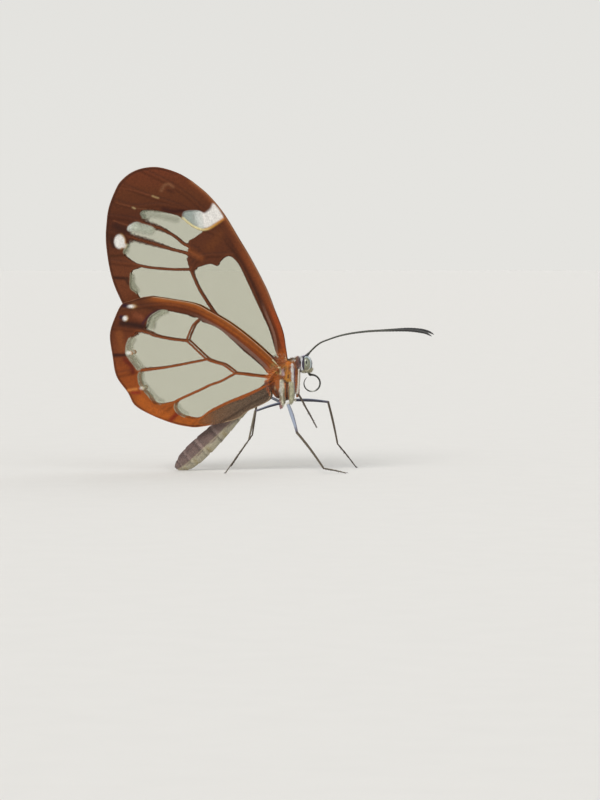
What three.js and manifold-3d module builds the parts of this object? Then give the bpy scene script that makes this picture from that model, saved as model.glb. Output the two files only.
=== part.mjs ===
// A glasswing butterfly at rest with its wings closed over its back, at life size.
// Millimetres, +X towards the head, +Z up. The right side faces -Y.
// Places are first given from a point on the thorax, then the whole is moved so that its
// lowest plane is Z = 0 and the origin lies under the middle of its box.
import * as THREE from "three";
import { mergeVertices } from "three/addons/utils/BufferGeometryUtils.js";
import Module from "manifold-3d";

const wasm = await Module();
wasm.setup();

// Driving dimensions
const GAP = 0.3; // air between a piece and what it grows from
const WING_THICKNESS = 0.5;
const VEIN_HEIGHT = 0.16; // how far a vein stands over each face
const VEIN_HALF_WIDTH = 0.3;
const FOREWING_LAYER = 0.62; // from the middle plane to a forewing's middle surface
const HINDWING_LAYER = 1.76;
const LIMB_RADIUS = 0.28;
const HIP_RADIUS = 0.31;
const TARSUS_RADIUS = 0.26;
const FORELEG_TIP_RADIUS = 0.2;
const TOE = 0.06; // height of a toe's middle, so that its underside is cut to a small flat
const ANTENNA_RADIUS = 0.25;
const ANTENNA_CLUB_RADIUS = 0.34;
const ANTENNA_SPREAD = 4.2; // how far each tip stands out from the middle plane
const PROBOSCIS_COIL = { x: 2.68, z: 10.78, radius: 1.06 };
const EYE = { x: 2.06, y: 0.42, z: 13.2, radii: [0.64, 0.72, 0.98], flat: 0.64 };
const HEAD = { x: 1.76, z: 13.14, radii: [0.92, 0.94, 1.02] };
const PALP = {
  path: [[2.05, 0.22, 12.5], [2.45, 0.24, 12.34], [2.8, 0.27, 12.66]],
  radii: [0.28, 0.25, 0.15],
  sides: 8,
};
const ABDOMEN_SEGMENTS = 8;

const COLOURS = {
  wing: 0x8f4a1e,
  body: 0xb5651d,
  head: 0x4a3a30,
  eye: 0xa8a890,
  antenna: 0x2c2a22,
  abdomen: 0x8a6f68,
  limb: 0x8d8c96,
  tarsus: 0x4a3626,
};

// Each line runs from a wing's root to its margin: root, middle of the cell, end of the cell,
// middle of the outer field, margin. Ridges say which half of it stands up as a vein.
const FOREWING = {
  layer: (s) => FOREWING_LAYER + 0.1 * (1 - s),
  cross: ["radius", "media_3"],
  lines: {
    costa: [[-0.61, 13.96], [-1.84, 19.43], [-4.67, 25.77], [-8.36, 31.86], [-13.04, 36.25]],
    radius: [[-0.79, 13.71], [-3.01, 18.94], [-6.64, 26.32], [-10.09, 31.36], [-17.22, 37.34]],
    sector: [[-0.92, 13.53], [-4.06, 18.33], [-8.73, 26.94], [-15.38, 32.72], [-21.28, 35.05]],
    media_1: [[-1.03, 13.41], [-5.17, 17.84], [-10.58, 26.81], [-16.24, 29.77], [-22.56, 31.0]],
    media_2: [[-1.13, 13.31], [-6.15, 17.47], [-11.62, 26.14], [-16.78, 27.86], [-22.68, 29.15]],
    media_3: [[-1.23, 13.21], [-8.86, 19.25], [-12.24, 24.78], [-17.22, 25.03], [-22.35, 25.83]],
    inner: [[-1.32, 13.09], [-7.5, 17.59], [-12.3, 20.11], [-16.48, 20.6], [-20.61, 20.5]],
  },
  ridges: {
    costa: [1, 1],
    radius: [1, 1],
    sector: [0, 1],
    media_1: [0, 1],
    media_2: [0, 1],
    media_3: [1, 1],
    inner: [0.4, 0.4],
  },
};
const HINDWING = {
  layer: (s) => HINDWING_LAYER - 0.22 * (1 - Math.min(1, s / 0.2)) + 0.12 * s * s,
  cross: ["sector", "cubitus_1"],
  lines: {
    costa: [[-1.17, 12.91], [-4.55, 16.16], [-9.59, 19.61], [-14.27, 21.13], [-18.2, 21.34]],
    radius: [[-1.29, 12.67], [-5.29, 15.31], [-9.72, 18.02], [-15.62, 19.77], [-21.03, 19.86]],
    sector: [[-1.4, 12.42], [-6.4, 14.76], [-12.13, 17.27], [-16.36, 19.07], [-21.83, 17.71]],
    media_1: [[-1.51, 12.24], [-7.01, 14.14], [-12.56, 16.01], [-17.22, 16.85], [-22.02, 15.44]],
    media_2: [[-1.6, 12.1], [-6.4, 12.91], [-11.0, 14.56], [-16.48, 14.64], [-21.61, 13.41]],
    media_3: [[-1.67, 11.98], [-5.78, 12.18], [-10.05, 13.75], [-15.22, 12.74], [-20.66, 10.82]],
    cubitus_1: [[-1.75, 11.83], [-4.06, 11.69], [-6.67, 12.05], [-10.46, 10.21], [-15.25, 6.27]],
    cubitus_2: [[-1.84, 11.5], [-3.9, 9.91], [-7.23, 8.54], [-9.74, 7.34], [-11.56, 5.5]],
    inner: [[-1.94, 11.07], [-2.21, 9.22], [-4.22, 7.77], [-6.15, 6.59], [-8.36, 5.95]],
  },
  ridges: {
    costa: [0.6, 0.6],
    radius: [1, 1],
    sector: [0, 1],
    media_1: [0, 1],
    media_2: [0, 0],
    media_3: [0, 1],
    cubitus_1: [1, 1],
    cubitus_2: [1, 1],
    inner: [0.6, 0.6],
  },
};
const WING_ROWS = [0.03, 0.08, 0.15, 0.23, 0.31, 0.39, 0.475, 0.5, 0.525, 0.6, 0.68, 0.76, 0.84, 0.92, 1];
const CROSS_ROW = 0.5;

// Centres, radii along, across and up, and pitch in degrees of the ellipsoids that make the thorax.
const THORAX_BULGES = [
  { at: [-0.72, 0, 12.05], radii: [1.98, 1.3, 1.66], pitch: 38 },
  { at: [-1.5, 0, 10.7], radii: [0.95, 1.12, 1.75], pitch: 8 },
  { at: [-0.35, 0, 10.6], radii: [0.95, 0.9, 1.9], pitch: -4 },
  { at: [0.35, 0, 13.4], radii: [0.55, 0.6, 0.5], pitch: 0 },
];
const COXA_BULGES = [
  { at: [-0.72, 0.56, 9.62], radii: [0.44, 0.5, 1.78], pitch: -10 },
  { at: [0.16, 0.5, 10.0], radii: [0.4, 0.46, 1.6], pitch: -4 },
];

const ABDOMEN_PATH = [
  [-3.1, 10.05], [-4.67, 8.73], [-6.3, 7.25], [-8.45, 5.2], [-10.3, 3.45], [-11.85, 2.0], [-12.95, 1.02],
  [-13.75, 0.45],
];
const ABDOMEN_RADII = [
  [0.5, 0.52], [0.62, 0.6], [0.72, 0.78], [0.92, 1.1], [1.04, 1.3], [1.02, 1.32], [0.86, 1.14],
  [0.5, 0.72],
];

const ANTENNA_PATH = [
  [1.9, 14.1], [3.44, 15.56], [4.92, 16.24], [6.76, 16.79], [9.22, 17.16], [12.3, 17.34], [14.76, 17.4],
  [16.61, 17.16], [17.47, 16.73],
];

// Each leg from the coxa: points of its joints, for the side named.
const LEGS = {
  midleg: {
    right: { hip: [-0.2, -0.6, 8], knee: [1.15, -4, 4.92], ankle: [4.45, -4.8, 0.62], toe: [7.2, -5.3, TOE] },
    left: { hip: [0.6, 0.75, 8.6], knee: [4.5, 3.2, 8.35], ankle: [5.6, 4.4, 3.1], toe: [7.9, 5.2, TOE] },
  },
  hindleg: {
    right: { hip: [-0.95, -0.6, 8.3], knee: [-4, -3.9, 7.5], ankle: [-4.6, -6, 4.1], toe: [-7.4, -6.8, TOE] },
    left: { hip: [-0.95, 0.6, 8.3], knee: [-4.3, 4.2, 9.4], ankle: [-5.15, 6, 4.1], toe: [-7.9, 6.8, TOE] },
  },
};
const FORELEG = { hip: [1.32, 0.74, 12.2], knee: [1.12, 0.6, 9.2], toe: [3.32, 0.58, 5.29] };

const solidOf = (geometry) => {
  const bare = new THREE.BufferGeometry();
  bare.setAttribute("position", geometry.getAttribute("position"));
  bare.setIndex(geometry.index);
  const merged = mergeVertices(bare, 1e-4);
  return new wasm.Manifold(
    new wasm.Mesh({
      numProp: 3,
      vertProperties: Float32Array.from(merged.attributes.position.array),
      triVerts: Uint32Array.from(merged.index.array),
    }),
  );
};

const geometryOf = (solid) => {
  const mesh = solid.getMesh();
  const geometry = new THREE.BufferGeometry();
  geometry.setAttribute("position", new THREE.BufferAttribute(mesh.vertProperties, 3));
  geometry.setIndex(new THREE.BufferAttribute(mesh.triVerts, 1));
  geometry.computeVertexNormals();
  return geometry;
};

const join = (solids) => solids.reduce((whole, piece) => whole.add(piece));

// The largest closed body that is left of a solid once the others are cut away from it.
const clearOf = (solid, others) => {
  const cut = others.reduce((rest, other) => rest.subtract(other), solid);
  return cut.decompose().reduce((a, b) => (a.volume() > b.volume() ? a : b));
};

const ellipsoid = (at, radii, pitch = 0, around = 20, along = 12) => {
  const sphere = new THREE.SphereGeometry(1, around, along);
  const place = new THREE.Matrix4()
    .makeTranslation(...at)
    .multiply(new THREE.Matrix4().makeRotationY(THREE.MathUtils.degToRad(-pitch)))
    .multiply(new THREE.Matrix4().makeScale(...radii));
  return solidOf(sphere.applyMatrix4(place));
};

const block = (low, high) => {
  const size = high.map((v, i) => v - low[i]);
  const middle = high.map((v, i) => (v + low[i]) / 2);
  return solidOf(new THREE.BoxGeometry(...size).translate(...middle));
};

// A closed tapering tube: rings across a path, with a radius across and a radius deep at each point.
const loft = (points, radii, sides) => {
  const path = points.map((p) => new THREE.Vector3(...p));
  const positions = [];
  const faces = [];
  path.forEach((centre, i) => {
    const before = path[Math.max(i - 1, 0)];
    const after = path[Math.min(i + 1, path.length - 1)];
    const tangent = after.clone().sub(before).normalize();
    const deep = tangent.clone().cross(new THREE.Vector3(0, 1, 0)).normalize();
    const across = deep.clone().cross(tangent);
    const [a, d] = radii[i];
    for (let k = 0; k < sides; k++) {
      const turn = (2 * Math.PI * k) / sides;
      const corner = centre
        .clone()
        .addScaledVector(across, a * Math.cos(turn))
        .addScaledVector(deep, d * Math.sin(turn));
      positions.push(...corner.toArray());
    }
  });
  const first = positions.length / 3;
  positions.push(...path[0].toArray(), ...path[path.length - 1].toArray());
  for (let k = 0; k < sides; k++) {
    const next = (k + 1) % sides;
    for (let i = 0; i + 1 < path.length; i++) {
      const a = i * sides + k;
      const b = i * sides + next;
      faces.push(a, b, b + sides, a, b + sides, a + sides);
    }
    const last = (path.length - 1) * sides;
    faces.push(first, next, k, first + 1, last + k, last + next);
  }
  const geometry = new THREE.BufferGeometry();
  geometry.setAttribute("position", new THREE.Float32BufferAttribute(positions, 3));
  geometry.setIndex(faces);
  return solidOf(geometry);
};

// A straight stretch of leg from one joint to the next, swollen a little past its start.
const limb = (from, to, startRadius, endRadius, grow = 0) => {
  const start = new THREE.Vector3(...from);
  const end = new THREE.Vector3(...to);
  const reach = end.clone().sub(start).normalize().multiplyScalar(grow);
  start.sub(reach);
  end.add(reach);
  const swell = [0.82, 1, 1.04, 0.96, 0.8];
  const points = swell.map((_, i) => start.clone().lerp(end, i / (swell.length - 1)).toArray());
  const radii = swell.map((share, i) => {
    const radius = share * THREE.MathUtils.lerp(startRadius, endRadius, i / (swell.length - 1)) + grow;
    return [radius, radius];
  });
  return loft(points, radii, 8);
};

// A point of a wing line: two parabolas that meet at the end of the cell.
const alongLine = (line, s) => {
  const [a, b, c] = s < CROSS_ROW ? line.slice(0, 3) : line.slice(2, 5);
  const u = s < CROSS_ROW ? s / CROSS_ROW : (s - CROSS_ROW) / (1 - CROSS_ROW);
  const shares = [2 * (u - 0.5) * (u - 1), 4 * u * (1 - u), 2 * u * (u - 0.5)];
  return new THREE.Vector3(
    a[0] * shares[0] + b[0] * shares[1] + c[0] * shares[2],
    0,
    a[1] * shares[0] + b[1] * shares[1] + c[1] * shares[2],
  );
};

// One row of a wing from its leading to its trailing edge: place and height over the membrane.
const wingRow = (wing, s) => {
  const names = Object.keys(wing.lines);
  const marks = names.map((name) => alongLine(wing.lines[name], s));
  const across = new THREE.CatmullRomCurve3(marks, false, "centripetal");
  const from = names.indexOf(wing.cross[0]);
  const to = names.indexOf(wing.cross[1]);
  const last = names.length - 1;
  const row = [];
  const put = (t, vein) => {
    const onCross = s === CROSS_ROW && t >= from && t <= to;
    const height = onCross ? Math.max(vein, 1) : vein;
    row.push({ place: across.getPoint(t / last), height: height * VEIN_HEIGHT * Math.min(1, s / 0.2) });
  };
  names.forEach((name, i) => {
    const half = s < CROSS_ROW ? 0 : 1;
    put(i, wing.ridges[name][half]);
    if (i === last) return;
    const foot = Math.min(0.32, VEIN_HALF_WIDTH / marks[i].distanceTo(marks[i + 1]));
    put(i + foot, 0);
    put(i + 0.5, 0);
    put(i + 1 - foot, 0);
  });
  return row;
};

// A wing of the right side: the same net of triangles on both faces, closed round its rim.
const wingSolid = (wing) => {
  const rows = WING_ROWS.map((s) => wingRow(wing, s));
  const columns = rows[0].length;
  const positions = [];
  const faces = [];
  [-1, 1].forEach((face) =>
    rows.forEach((row, i) =>
      row.forEach(({ place, height }) => {
        const y = -wing.layer(WING_ROWS[i]) + face * (WING_THICKNESS / 2 + height);
        positions.push(place.x, y, place.z);
      }),
    ),
  );
  const other = rows.length * columns;
  const near = (i, j) => i * columns + j;
  const far = (i, j) => other + near(i, j);
  const quad = (a, b, c, d) => faces.push(a, b, c, a, c, d);
  for (let i = 0; i + 1 < rows.length; i++) {
    for (let j = 0; j + 1 < columns; j++) {
      quad(near(i, j), near(i, j + 1), near(i + 1, j + 1), near(i + 1, j));
      faces.push(far(i, j), far(i + 1, j + 1), far(i, j + 1));
      faces.push(far(i, j), far(i + 1, j), far(i + 1, j + 1));
    }
    quad(near(i, 0), near(i + 1, 0), far(i + 1, 0), far(i, 0));
    quad(near(i + 1, columns - 1), near(i, columns - 1), far(i, columns - 1), far(i + 1, columns - 1));
  }
  const end = rows.length - 1;
  for (let j = 0; j + 1 < columns; j++) {
    quad(near(0, j + 1), near(0, j), far(0, j), far(0, j + 1));
    quad(near(end, j), near(end, j + 1), far(end, j + 1), far(end, j));
  }
  const geometry = new THREE.BufferGeometry();
  geometry.setAttribute("position", new THREE.Float32BufferAttribute(positions, 3));
  geometry.setIndex(faces);
  const solid = solidOf(geometry);
  if (solid.volume() > 0) return solid;
  for (let i = 0; i < faces.length; i += 3) [faces[i], faces[i + 1]] = [faces[i + 1], faces[i]];
  geometry.setIndex(faces);
  return solidOf(geometry);
};

const thoraxSolid = (grow = 0) => {
  const grown = ({ at, radii, pitch }) => ellipsoid(at, radii.map((r) => r + grow), pitch);
  const coxae = COXA_BULGES.flatMap((bulge) =>
    [-1, 1].map((side) => ({ ...bulge, at: [bulge.at[0], side * bulge.at[1], bulge.at[2]] })),
  );
  return join([...THORAX_BULGES, ...coxae].map(grown));
};

const eyeSolid = (side, grow = 0) => {
  const radii = EYE.radii.map((r) => r + grow);
  const ball = ellipsoid([EYE.x, side * EYE.y, EYE.z], radii);
  const reach = 2 * Math.max(...radii);
  const inner = side * (EYE.flat - grow);
  const outer = side * (EYE.y + reach);
  const low = [EYE.x - reach, Math.min(inner, outer), EYE.z - reach];
  const high = [EYE.x + reach, Math.max(inner, outer), EYE.z + reach];
  return ball.intersect(block(low, high));
};

const headSolid = (grow = 0) => {
  const skull = ellipsoid([HEAD.x, 0, HEAD.z], HEAD.radii.map((r) => r + grow));
  const palps = [-1, 1].map((side) =>
    loft(
      PALP.path.map(([x, y, z]) => [x, side * y, z]),
      PALP.radii.map((r) => [r + grow, r + grow]),
      PALP.sides,
    ),
  );
  return join([skull, ...palps]);
};

const abdomenSolid = () => {
  const spine = new THREE.CatmullRomCurve3(ABDOMEN_PATH.map(([x, z]) => new THREE.Vector3(x, 0, z)));
  const girth = new THREE.CatmullRomCurve3(ABDOMEN_RADII.map(([a, d]) => new THREE.Vector3(a, d, 0)));
  const ringsPerSegment = 3;
  const swell = [0.95, 1, 1.035]; // each segment widens towards its hind rim
  const count = ABDOMEN_SEGMENTS * ringsPerSegment;
  const points = [];
  const radii = [];
  for (let i = 0; i <= count; i++) {
    const at = spine.getPoint(i / count);
    const size = girth.getPoint(i / count);
    const share = swell[i % ringsPerSegment];
    points.push(at.toArray());
    radii.push([size.x * share, size.y * share]);
  }
  const tip = points[count];
  points.push([tip[0] - 0.32, 0, tip[2] - 0.15]);
  radii.push([0.22, 0.34]);
  return loft(points, radii, 14);
};

const antennaSolid = (side) => {
  const last = ANTENNA_PATH.length - 1;
  const bend = ANTENNA_PATH.map(([x, z], i) => {
    const out = 0.32 + (ANTENNA_SPREAD - 0.32) * (i / last) ** 1.15;
    return new THREE.Vector3(x, side * out, z);
  });
  const curve = new THREE.CatmullRomCurve3(bend);
  const steps = 26;
  const points = [];
  const radii = [];
  for (let i = 0; i <= steps; i++) {
    const u = i / steps;
    const club = THREE.MathUtils.smoothstep(u, 0.62, 0.82) * (1 - THREE.MathUtils.smoothstep(u, 0.9, 1.04));
    const taper = 1 - 0.7 * THREE.MathUtils.smoothstep(u, 0.94, 1);
    const radius = (ANTENNA_RADIUS + (ANTENNA_CLUB_RADIUS - ANTENNA_RADIUS) * club) * taper;
    points.push(curve.getPoint(u).toArray());
    radii.push([radius, radius]);
  }
  return loft(points, radii, 8);
};

// A length of the coil between two angles, in degrees from straight ahead.
const proboscisSolid = (fromAngle, toAngle, fromRadius, toRadius) => {
  const steps = 7;
  const points = [];
  const radii = [];
  for (let i = 0; i <= steps; i++) {
    const angle = THREE.MathUtils.degToRad(THREE.MathUtils.lerp(fromAngle, toAngle, i / steps));
    const radius = THREE.MathUtils.lerp(fromRadius, toRadius, i / steps);
    points.push([
      PROBOSCIS_COIL.x + PROBOSCIS_COIL.radius * Math.cos(angle),
      0,
      PROBOSCIS_COIL.z + PROBOSCIS_COIL.radius * Math.sin(angle),
    ]);
    radii.push([radius, radius]);
  }
  return loft(points, radii, 8);
};

const butterfly = new THREE.Group();
const addPiece = (name, solid, colour, roughness = 0.7) => {
  const material = new THREE.MeshStandardMaterial({ color: colour, roughness, metalness: 0 });
  const mesh = new THREE.Mesh(geometryOf(solid), material);
  mesh.name = name;
  butterfly.add(mesh);
};

const SIDES = { right: -1, left: 1 };
const mirrored = (solid) => solid.mirror([0, 1, 0]);
const onSide = (solid, side) => (side === "right" ? solid : mirrored(solid));
const belowFloor = block([-40, -20, -5], [30, 20, 0]);

const grownThorax = thoraxSolid(GAP);
const grownHead = headSolid(GAP);
const grownEyes = Object.values(SIDES).map((side) => eyeSolid(side, GAP));

addPiece("thorax", clearOf(thoraxSolid(), [grownHead]), COLOURS.body, 0.9);
addPiece("head", clearOf(headSolid(), grownEyes), COLOURS.head, 0.8);
addPiece("abdomen", clearOf(abdomenSolid(), [grownThorax, belowFloor]), COLOURS.abdomen, 0.85);

const coilLengths = [[82, -12, 0.27, 0.25], [-27, -118, 0.25, 0.23], [-133, -205, 0.23, 0.17]];
coilLengths.forEach((length, i) => {
  const solid = clearOf(proboscisSolid(...length), [grownHead]);
  addPiece(`proboscis_${i + 1}`, solid, COLOURS.antenna, 0.5);
});

const forewing = clearOf(wingSolid(FOREWING), [grownThorax]);
const hindwing = clearOf(wingSolid(HINDWING), [grownThorax]);

for (const [side, sign] of Object.entries(SIDES)) {
  addPiece(`eye_${side}`, eyeSolid(sign), COLOURS.eye, 0.25);
  addPiece(`antenna_${side}`, clearOf(antennaSolid(sign), [grownHead, ...grownEyes]), COLOURS.antenna, 0.6);
  addPiece(`forewing_${side}`, onSide(forewing, side), COLOURS.wing, 0.6);
  addPiece(`hindwing_${side}`, onSide(hindwing, side), COLOURS.wing, 0.6);

  const at = ([x, y, z]) => [x, sign * y, z];
  const foreHip = at(FORELEG.hip);
  const foreKnee = at(FORELEG.knee);
  const foreFemur = limb(foreHip, foreKnee, TARSUS_RADIUS, TARSUS_RADIUS);
  const grownForeFemur = limb(foreHip, foreKnee, TARSUS_RADIUS, TARSUS_RADIUS, GAP);
  addPiece(`foreleg_femur_${side}`, clearOf(foreFemur, [grownThorax, grownHead]), COLOURS.limb);
  const foreTibia = limb(foreKnee, at(FORELEG.toe), TARSUS_RADIUS, FORELEG_TIP_RADIUS);
  addPiece(`foreleg_tibia_${side}`, clearOf(foreTibia, [grownForeFemur, grownThorax]), COLOURS.tarsus);

  for (const [leg, sides] of Object.entries(LEGS)) {
    const { hip, knee, ankle, toe } = sides[side];
    const femur = limb(hip, knee, HIP_RADIUS, LIMB_RADIUS);
    const grownFemur = limb(hip, knee, HIP_RADIUS, LIMB_RADIUS, GAP);
    const tibia = limb(knee, ankle, LIMB_RADIUS, TARSUS_RADIUS);
    const grownTibia = limb(knee, ankle, LIMB_RADIUS, TARSUS_RADIUS, GAP);
    const tarsus = limb(ankle, toe, TARSUS_RADIUS, TARSUS_RADIUS);
    addPiece(`${leg}_femur_${side}`, clearOf(femur, [grownThorax]), COLOURS.limb);
    addPiece(`${leg}_tibia_${side}`, clearOf(tibia, [grownFemur, belowFloor]), COLOURS.tarsus);
    addPiece(`${leg}_tarsus_${side}`, clearOf(tarsus, [grownTibia, belowFloor]), COLOURS.tarsus);
  }
}

// The origin goes under the middle of the whole box, on the plane of the feet.
const box = new THREE.Box3().setFromObject(butterfly);
const middle = box.getCenter(new THREE.Vector3());
butterfly.children.forEach((mesh) => mesh.position.set(-middle.x, -middle.y, -box.min.z));

export default butterfly;
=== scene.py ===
"""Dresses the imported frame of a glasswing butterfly: clear wings with scaled borders, furred body,
facetted eyes, ringed feelers, coiled tongue and scaled legs, on a plain studio floor.

Places are in millimetres from a point on the thorax, x towards the head and z up from the floor.
The right side faces -y. The left side is the mirror image, except for the legs.
"""

import math

import bmesh
import bpy
import numpy as np
from mathutils import Matrix, Vector, noise


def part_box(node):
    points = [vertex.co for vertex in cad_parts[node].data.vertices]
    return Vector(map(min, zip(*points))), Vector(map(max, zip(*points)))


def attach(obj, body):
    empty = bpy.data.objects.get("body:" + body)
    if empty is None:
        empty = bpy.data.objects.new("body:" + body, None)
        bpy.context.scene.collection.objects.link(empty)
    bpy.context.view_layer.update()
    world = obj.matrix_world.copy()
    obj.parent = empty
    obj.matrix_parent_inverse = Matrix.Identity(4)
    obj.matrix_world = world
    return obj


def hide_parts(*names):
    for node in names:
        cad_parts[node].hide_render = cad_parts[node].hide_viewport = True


bl_info = {
    "name": "Glasswing butterfly",
    "version": (1, 0, 0),
    "blender": (4, 5, 0),
    "location": "View3D > Sidebar > Butterfly",
    "description": "Builds the wings, body, legs and studio of a life-size glasswing butterfly",
    "category": "Object",
}

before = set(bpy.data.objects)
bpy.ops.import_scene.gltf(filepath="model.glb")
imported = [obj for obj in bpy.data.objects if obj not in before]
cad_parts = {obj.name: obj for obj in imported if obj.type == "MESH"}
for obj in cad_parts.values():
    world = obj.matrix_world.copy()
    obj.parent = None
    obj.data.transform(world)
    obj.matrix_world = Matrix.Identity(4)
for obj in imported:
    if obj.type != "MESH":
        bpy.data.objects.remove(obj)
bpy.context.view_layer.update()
MM = 0.001
SEED = 11

# The eye's middle lies here from the thorax point, which gives the frame's own offset
EYE_X, EYE_Y, EYE_Z = 2.06, 0.42, 13.2
EYE_RADII = (0.62, 0.7, 0.96)
EYE_LOW, EYE_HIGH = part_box("eye_right")
OFFSET_X = (EYE_LOW[0] + EYE_HIGH[0]) / 2 / MM - EYE_X

SIDES = {"right": -1, "left": 1}

# Wing outlines, from the root outwards
FOREWING_COSTA = [
    (-0.3, 13.5), (-0.5, 14.9), (-0.9, 17.2), (-1.88, 19.8), (-2.9, 22.42), (-4.75, 26.0), (-6.27, 28.54),
    (-8.17, 31.65), (-10.11, 33.97), (-12.07, 35.61),
]
FOREWING_MARGIN = [
    (-12.07, 35.61), (-13.53, 36.49), (-15.22, 37.12), (-16.59, 37.36), (-18.15, 37.2), (-19.48, 36.7),
    (-20.54, 35.9), (-21.3, 34.9), (-22.24, 32.61), (-22.56, 30.73), (-22.68, 28.41), (-22.4, 25.9),
    (-22.02, 24.02), (-21.5, 22.45), (-20.61, 20.5),
]
FOREWING_INNER = [
    (-2.09, 13.04), (-6.15, 16.85), (-9.22, 18.82), (-12.3, 20.05), (-15.99, 20.6),
    (-20.61, 20.5),
]
HINDWING_COSTA = [
    (-1.08, 12.73), (-2.34, 14.18), (-4.59, 16.19), (-7.23, 18.2), (-9.74, 19.66), (-11.62, 20.59),
    (-14.76, 21.16), (-17.1, 21.51),
]
HINDWING_MARGIN = [
    (-17.1, 21.51), (-18.2, 21.34), (-19.43, 20.97), (-20.6, 20.48), (-21.55, 18.57), (-22.05, 16.69),
    (-21.73, 14.18), (-21.24, 11.67), (-19.85, 9.67), (-18.98, 8.12), (-17.1, 6.99), (-14.59, 5.99),
    (-12.56, 5.52), (-11.0, 5.46), (-7.86, 6.03),
]
HINDWING_INNER = [(-2.21, 9.72), (-2.34, 9.03), (-2.96, 8.4), (-5.09, 7.4), (-6.29, 6.52), (-7.86, 6.03)]

# Clear panes between the scaled veins and borders
FOREWING_PANES = {
    "cell": [
        (-11.56, 24.72), (-11.0, 25.19), (-9.74, 25.5), (-8.93, 25.25), (-8.61, 25.76), (-7.98, 26.32),
        (-7.23, 26.38), (-6.22, 25.37), (-4.85, 22.55), (-3.59, 19.8), (-2.46, 17.32), (-1.83, 15.12),
        (-1.55, 14.0), (-2.95, 14.5), (-5.54, 16.3), (-8.49, 18.5), (-9.59, 20.0), (-10.89, 22.55),
    ],
    "below_media": [
        (-12.5, 24.62), (-14.76, 24.6), (-17.22, 24.72), (-18.45, 24.85), (-19.48, 24.65), (-19.67, 23.52),
        (-19.61, 22.45), (-18.98, 21.94), (-18.08, 20.91), (-14.76, 20.5), (-11.07, 19.7), (-9.4, 19.2),
        (-10.7, 21.5), (-12.0, 23.8),
    ],
    "media": [
        (-19.63, 28.41), (-16.78, 27.68), (-14.59, 27.0), (-13.04, 26.48), (-12.51, 25.51), (-13.16, 25.0),
        (-15.84, 25.05), (-17.4, 25.26), (-19.31, 25.73), (-20.23, 26.35), (-20.48, 26.97), (-20.05, 27.92),
    ],
    "upper_media": [
        (-19.8, 30.13), (-18.94, 30.38), (-17.1, 29.99), (-15.68, 29.46), (-14.14, 28.54), (-12.91, 27.7),
        (-12.94, 27.02), (-14.59, 27.45), (-16.78, 28.14), (-18.45, 28.56), (-19.68, 28.97), (-19.99, 29.52),
    ],
    "below_tip": [
        (-18.39, 31.8), (-17.34, 32.19), (-15.22, 31.81), (-13.53, 31.27), (-12.55, 30.63), (-11.56, 29.95),
        (-10.7, 29.52), (-11.19, 29.03), (-12.05, 28.47), (-13.04, 28.3), (-14.59, 29.37), (-15.99, 30.0),
        (-17.1, 30.3), (-18.02, 31.12),
    ],
}
HINDWING_PANES = {
    "upper": [
        (-17.65, 17.59), (-17.44, 18.2), (-17.22, 18.87), (-16.48, 19.43), (-15.52, 19.8), (-13.51, 19.46),
        (-12.25, 19.15), (-11.32, 18.51), (-11.99, 17.96), (-12.39, 17.22), (-12.67, 16.38), (-13.53, 16.26),
        (-14.76, 16.44), (-16.48, 16.81), (-17.28, 17.06),
    ],
    "cell": [
        (-10.7, 18.33), (-9.74, 18.08), (-8.49, 17.47), (-6.73, 15.94), (-5.47, 14.75), (-4.22, 13.74),
        (-2.83, 12.36), (-2.95, 11.83), (-4.22, 11.9), (-5.47, 12.08), (-6.67, 12.2), (-7.48, 12.78),
        (-9.11, 13.5), (-9.9, 13.85), (-10.8, 14.62), (-12.25, 16.04), (-11.99, 17.24), (-11.6, 17.9),
    ],
    "media": [
        (-18.2, 17.01), (-18.98, 16.81), (-19.85, 16.06), (-20.11, 14.55), (-19.73, 13.92), (-18.6, 12.51),
        (-16.78, 12.68), (-15.22, 12.88), (-13.51, 13.17), (-10.3, 13.85), (-10.99, 14.61), (-11.89, 15.35),
        (-12.63, 15.91), (-14.76, 16.11), (-16.48, 16.48), (-17.4, 16.73),
    ],
    "cubitus": [
        (-18.35, 12.12), (-18.6, 11.55), (-18.27, 10.15), (-17.4, 9.35), (-16.78, 8.44), (-16.03, 8.18),
        (-14.27, 8.56), (-12.25, 9.58), (-9.74, 10.75), (-8.61, 11.12), (-6.94, 11.95), (-8.2, 12.98),
        (-9.92, 13.57), (-12.25, 13.11), (-15.22, 12.56), (-17.47, 12.25),
    ],
    "anal": [
        (-14.08, 8.16), (-13.95, 7.4), (-13.19, 6.78), (-11.3, 6.46), (-9.74, 7.49), (-8.49, 8.14),
        (-7.23, 8.71), (-4.85, 9.7), (-2.95, 10.6), (-2.48, 11.32), (-4.22, 11.61), (-6.58, 11.88),
        (-7.5, 11.35), (-9.72, 10.41), (-12.25, 9.23), (-13.51, 8.64),
    ],
}
ANAL_FOLD = [
    (-11.2, 5.95), (-10.3, 6.85), (-9.7, 7.2), (-7.2, 8.42), (-5.6, 8.98), (-3.9, 9.8), (-2.6, 10.5),
    (-1.95, 10.85),
    (-1.7, 10.3), (-2.1, 9.5), (-2.3, 8.8), (-3.0, 8.3), (-5.1, 7.3), (-6.4, 6.45), (-7.9, 6.0), (-9.5, 5.75),
]
ROOT_LIP = [(-2.0, 13.7), (-1.25, 12.98), (-1.06, 12.5), (-1.2, 12.1)]

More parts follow.
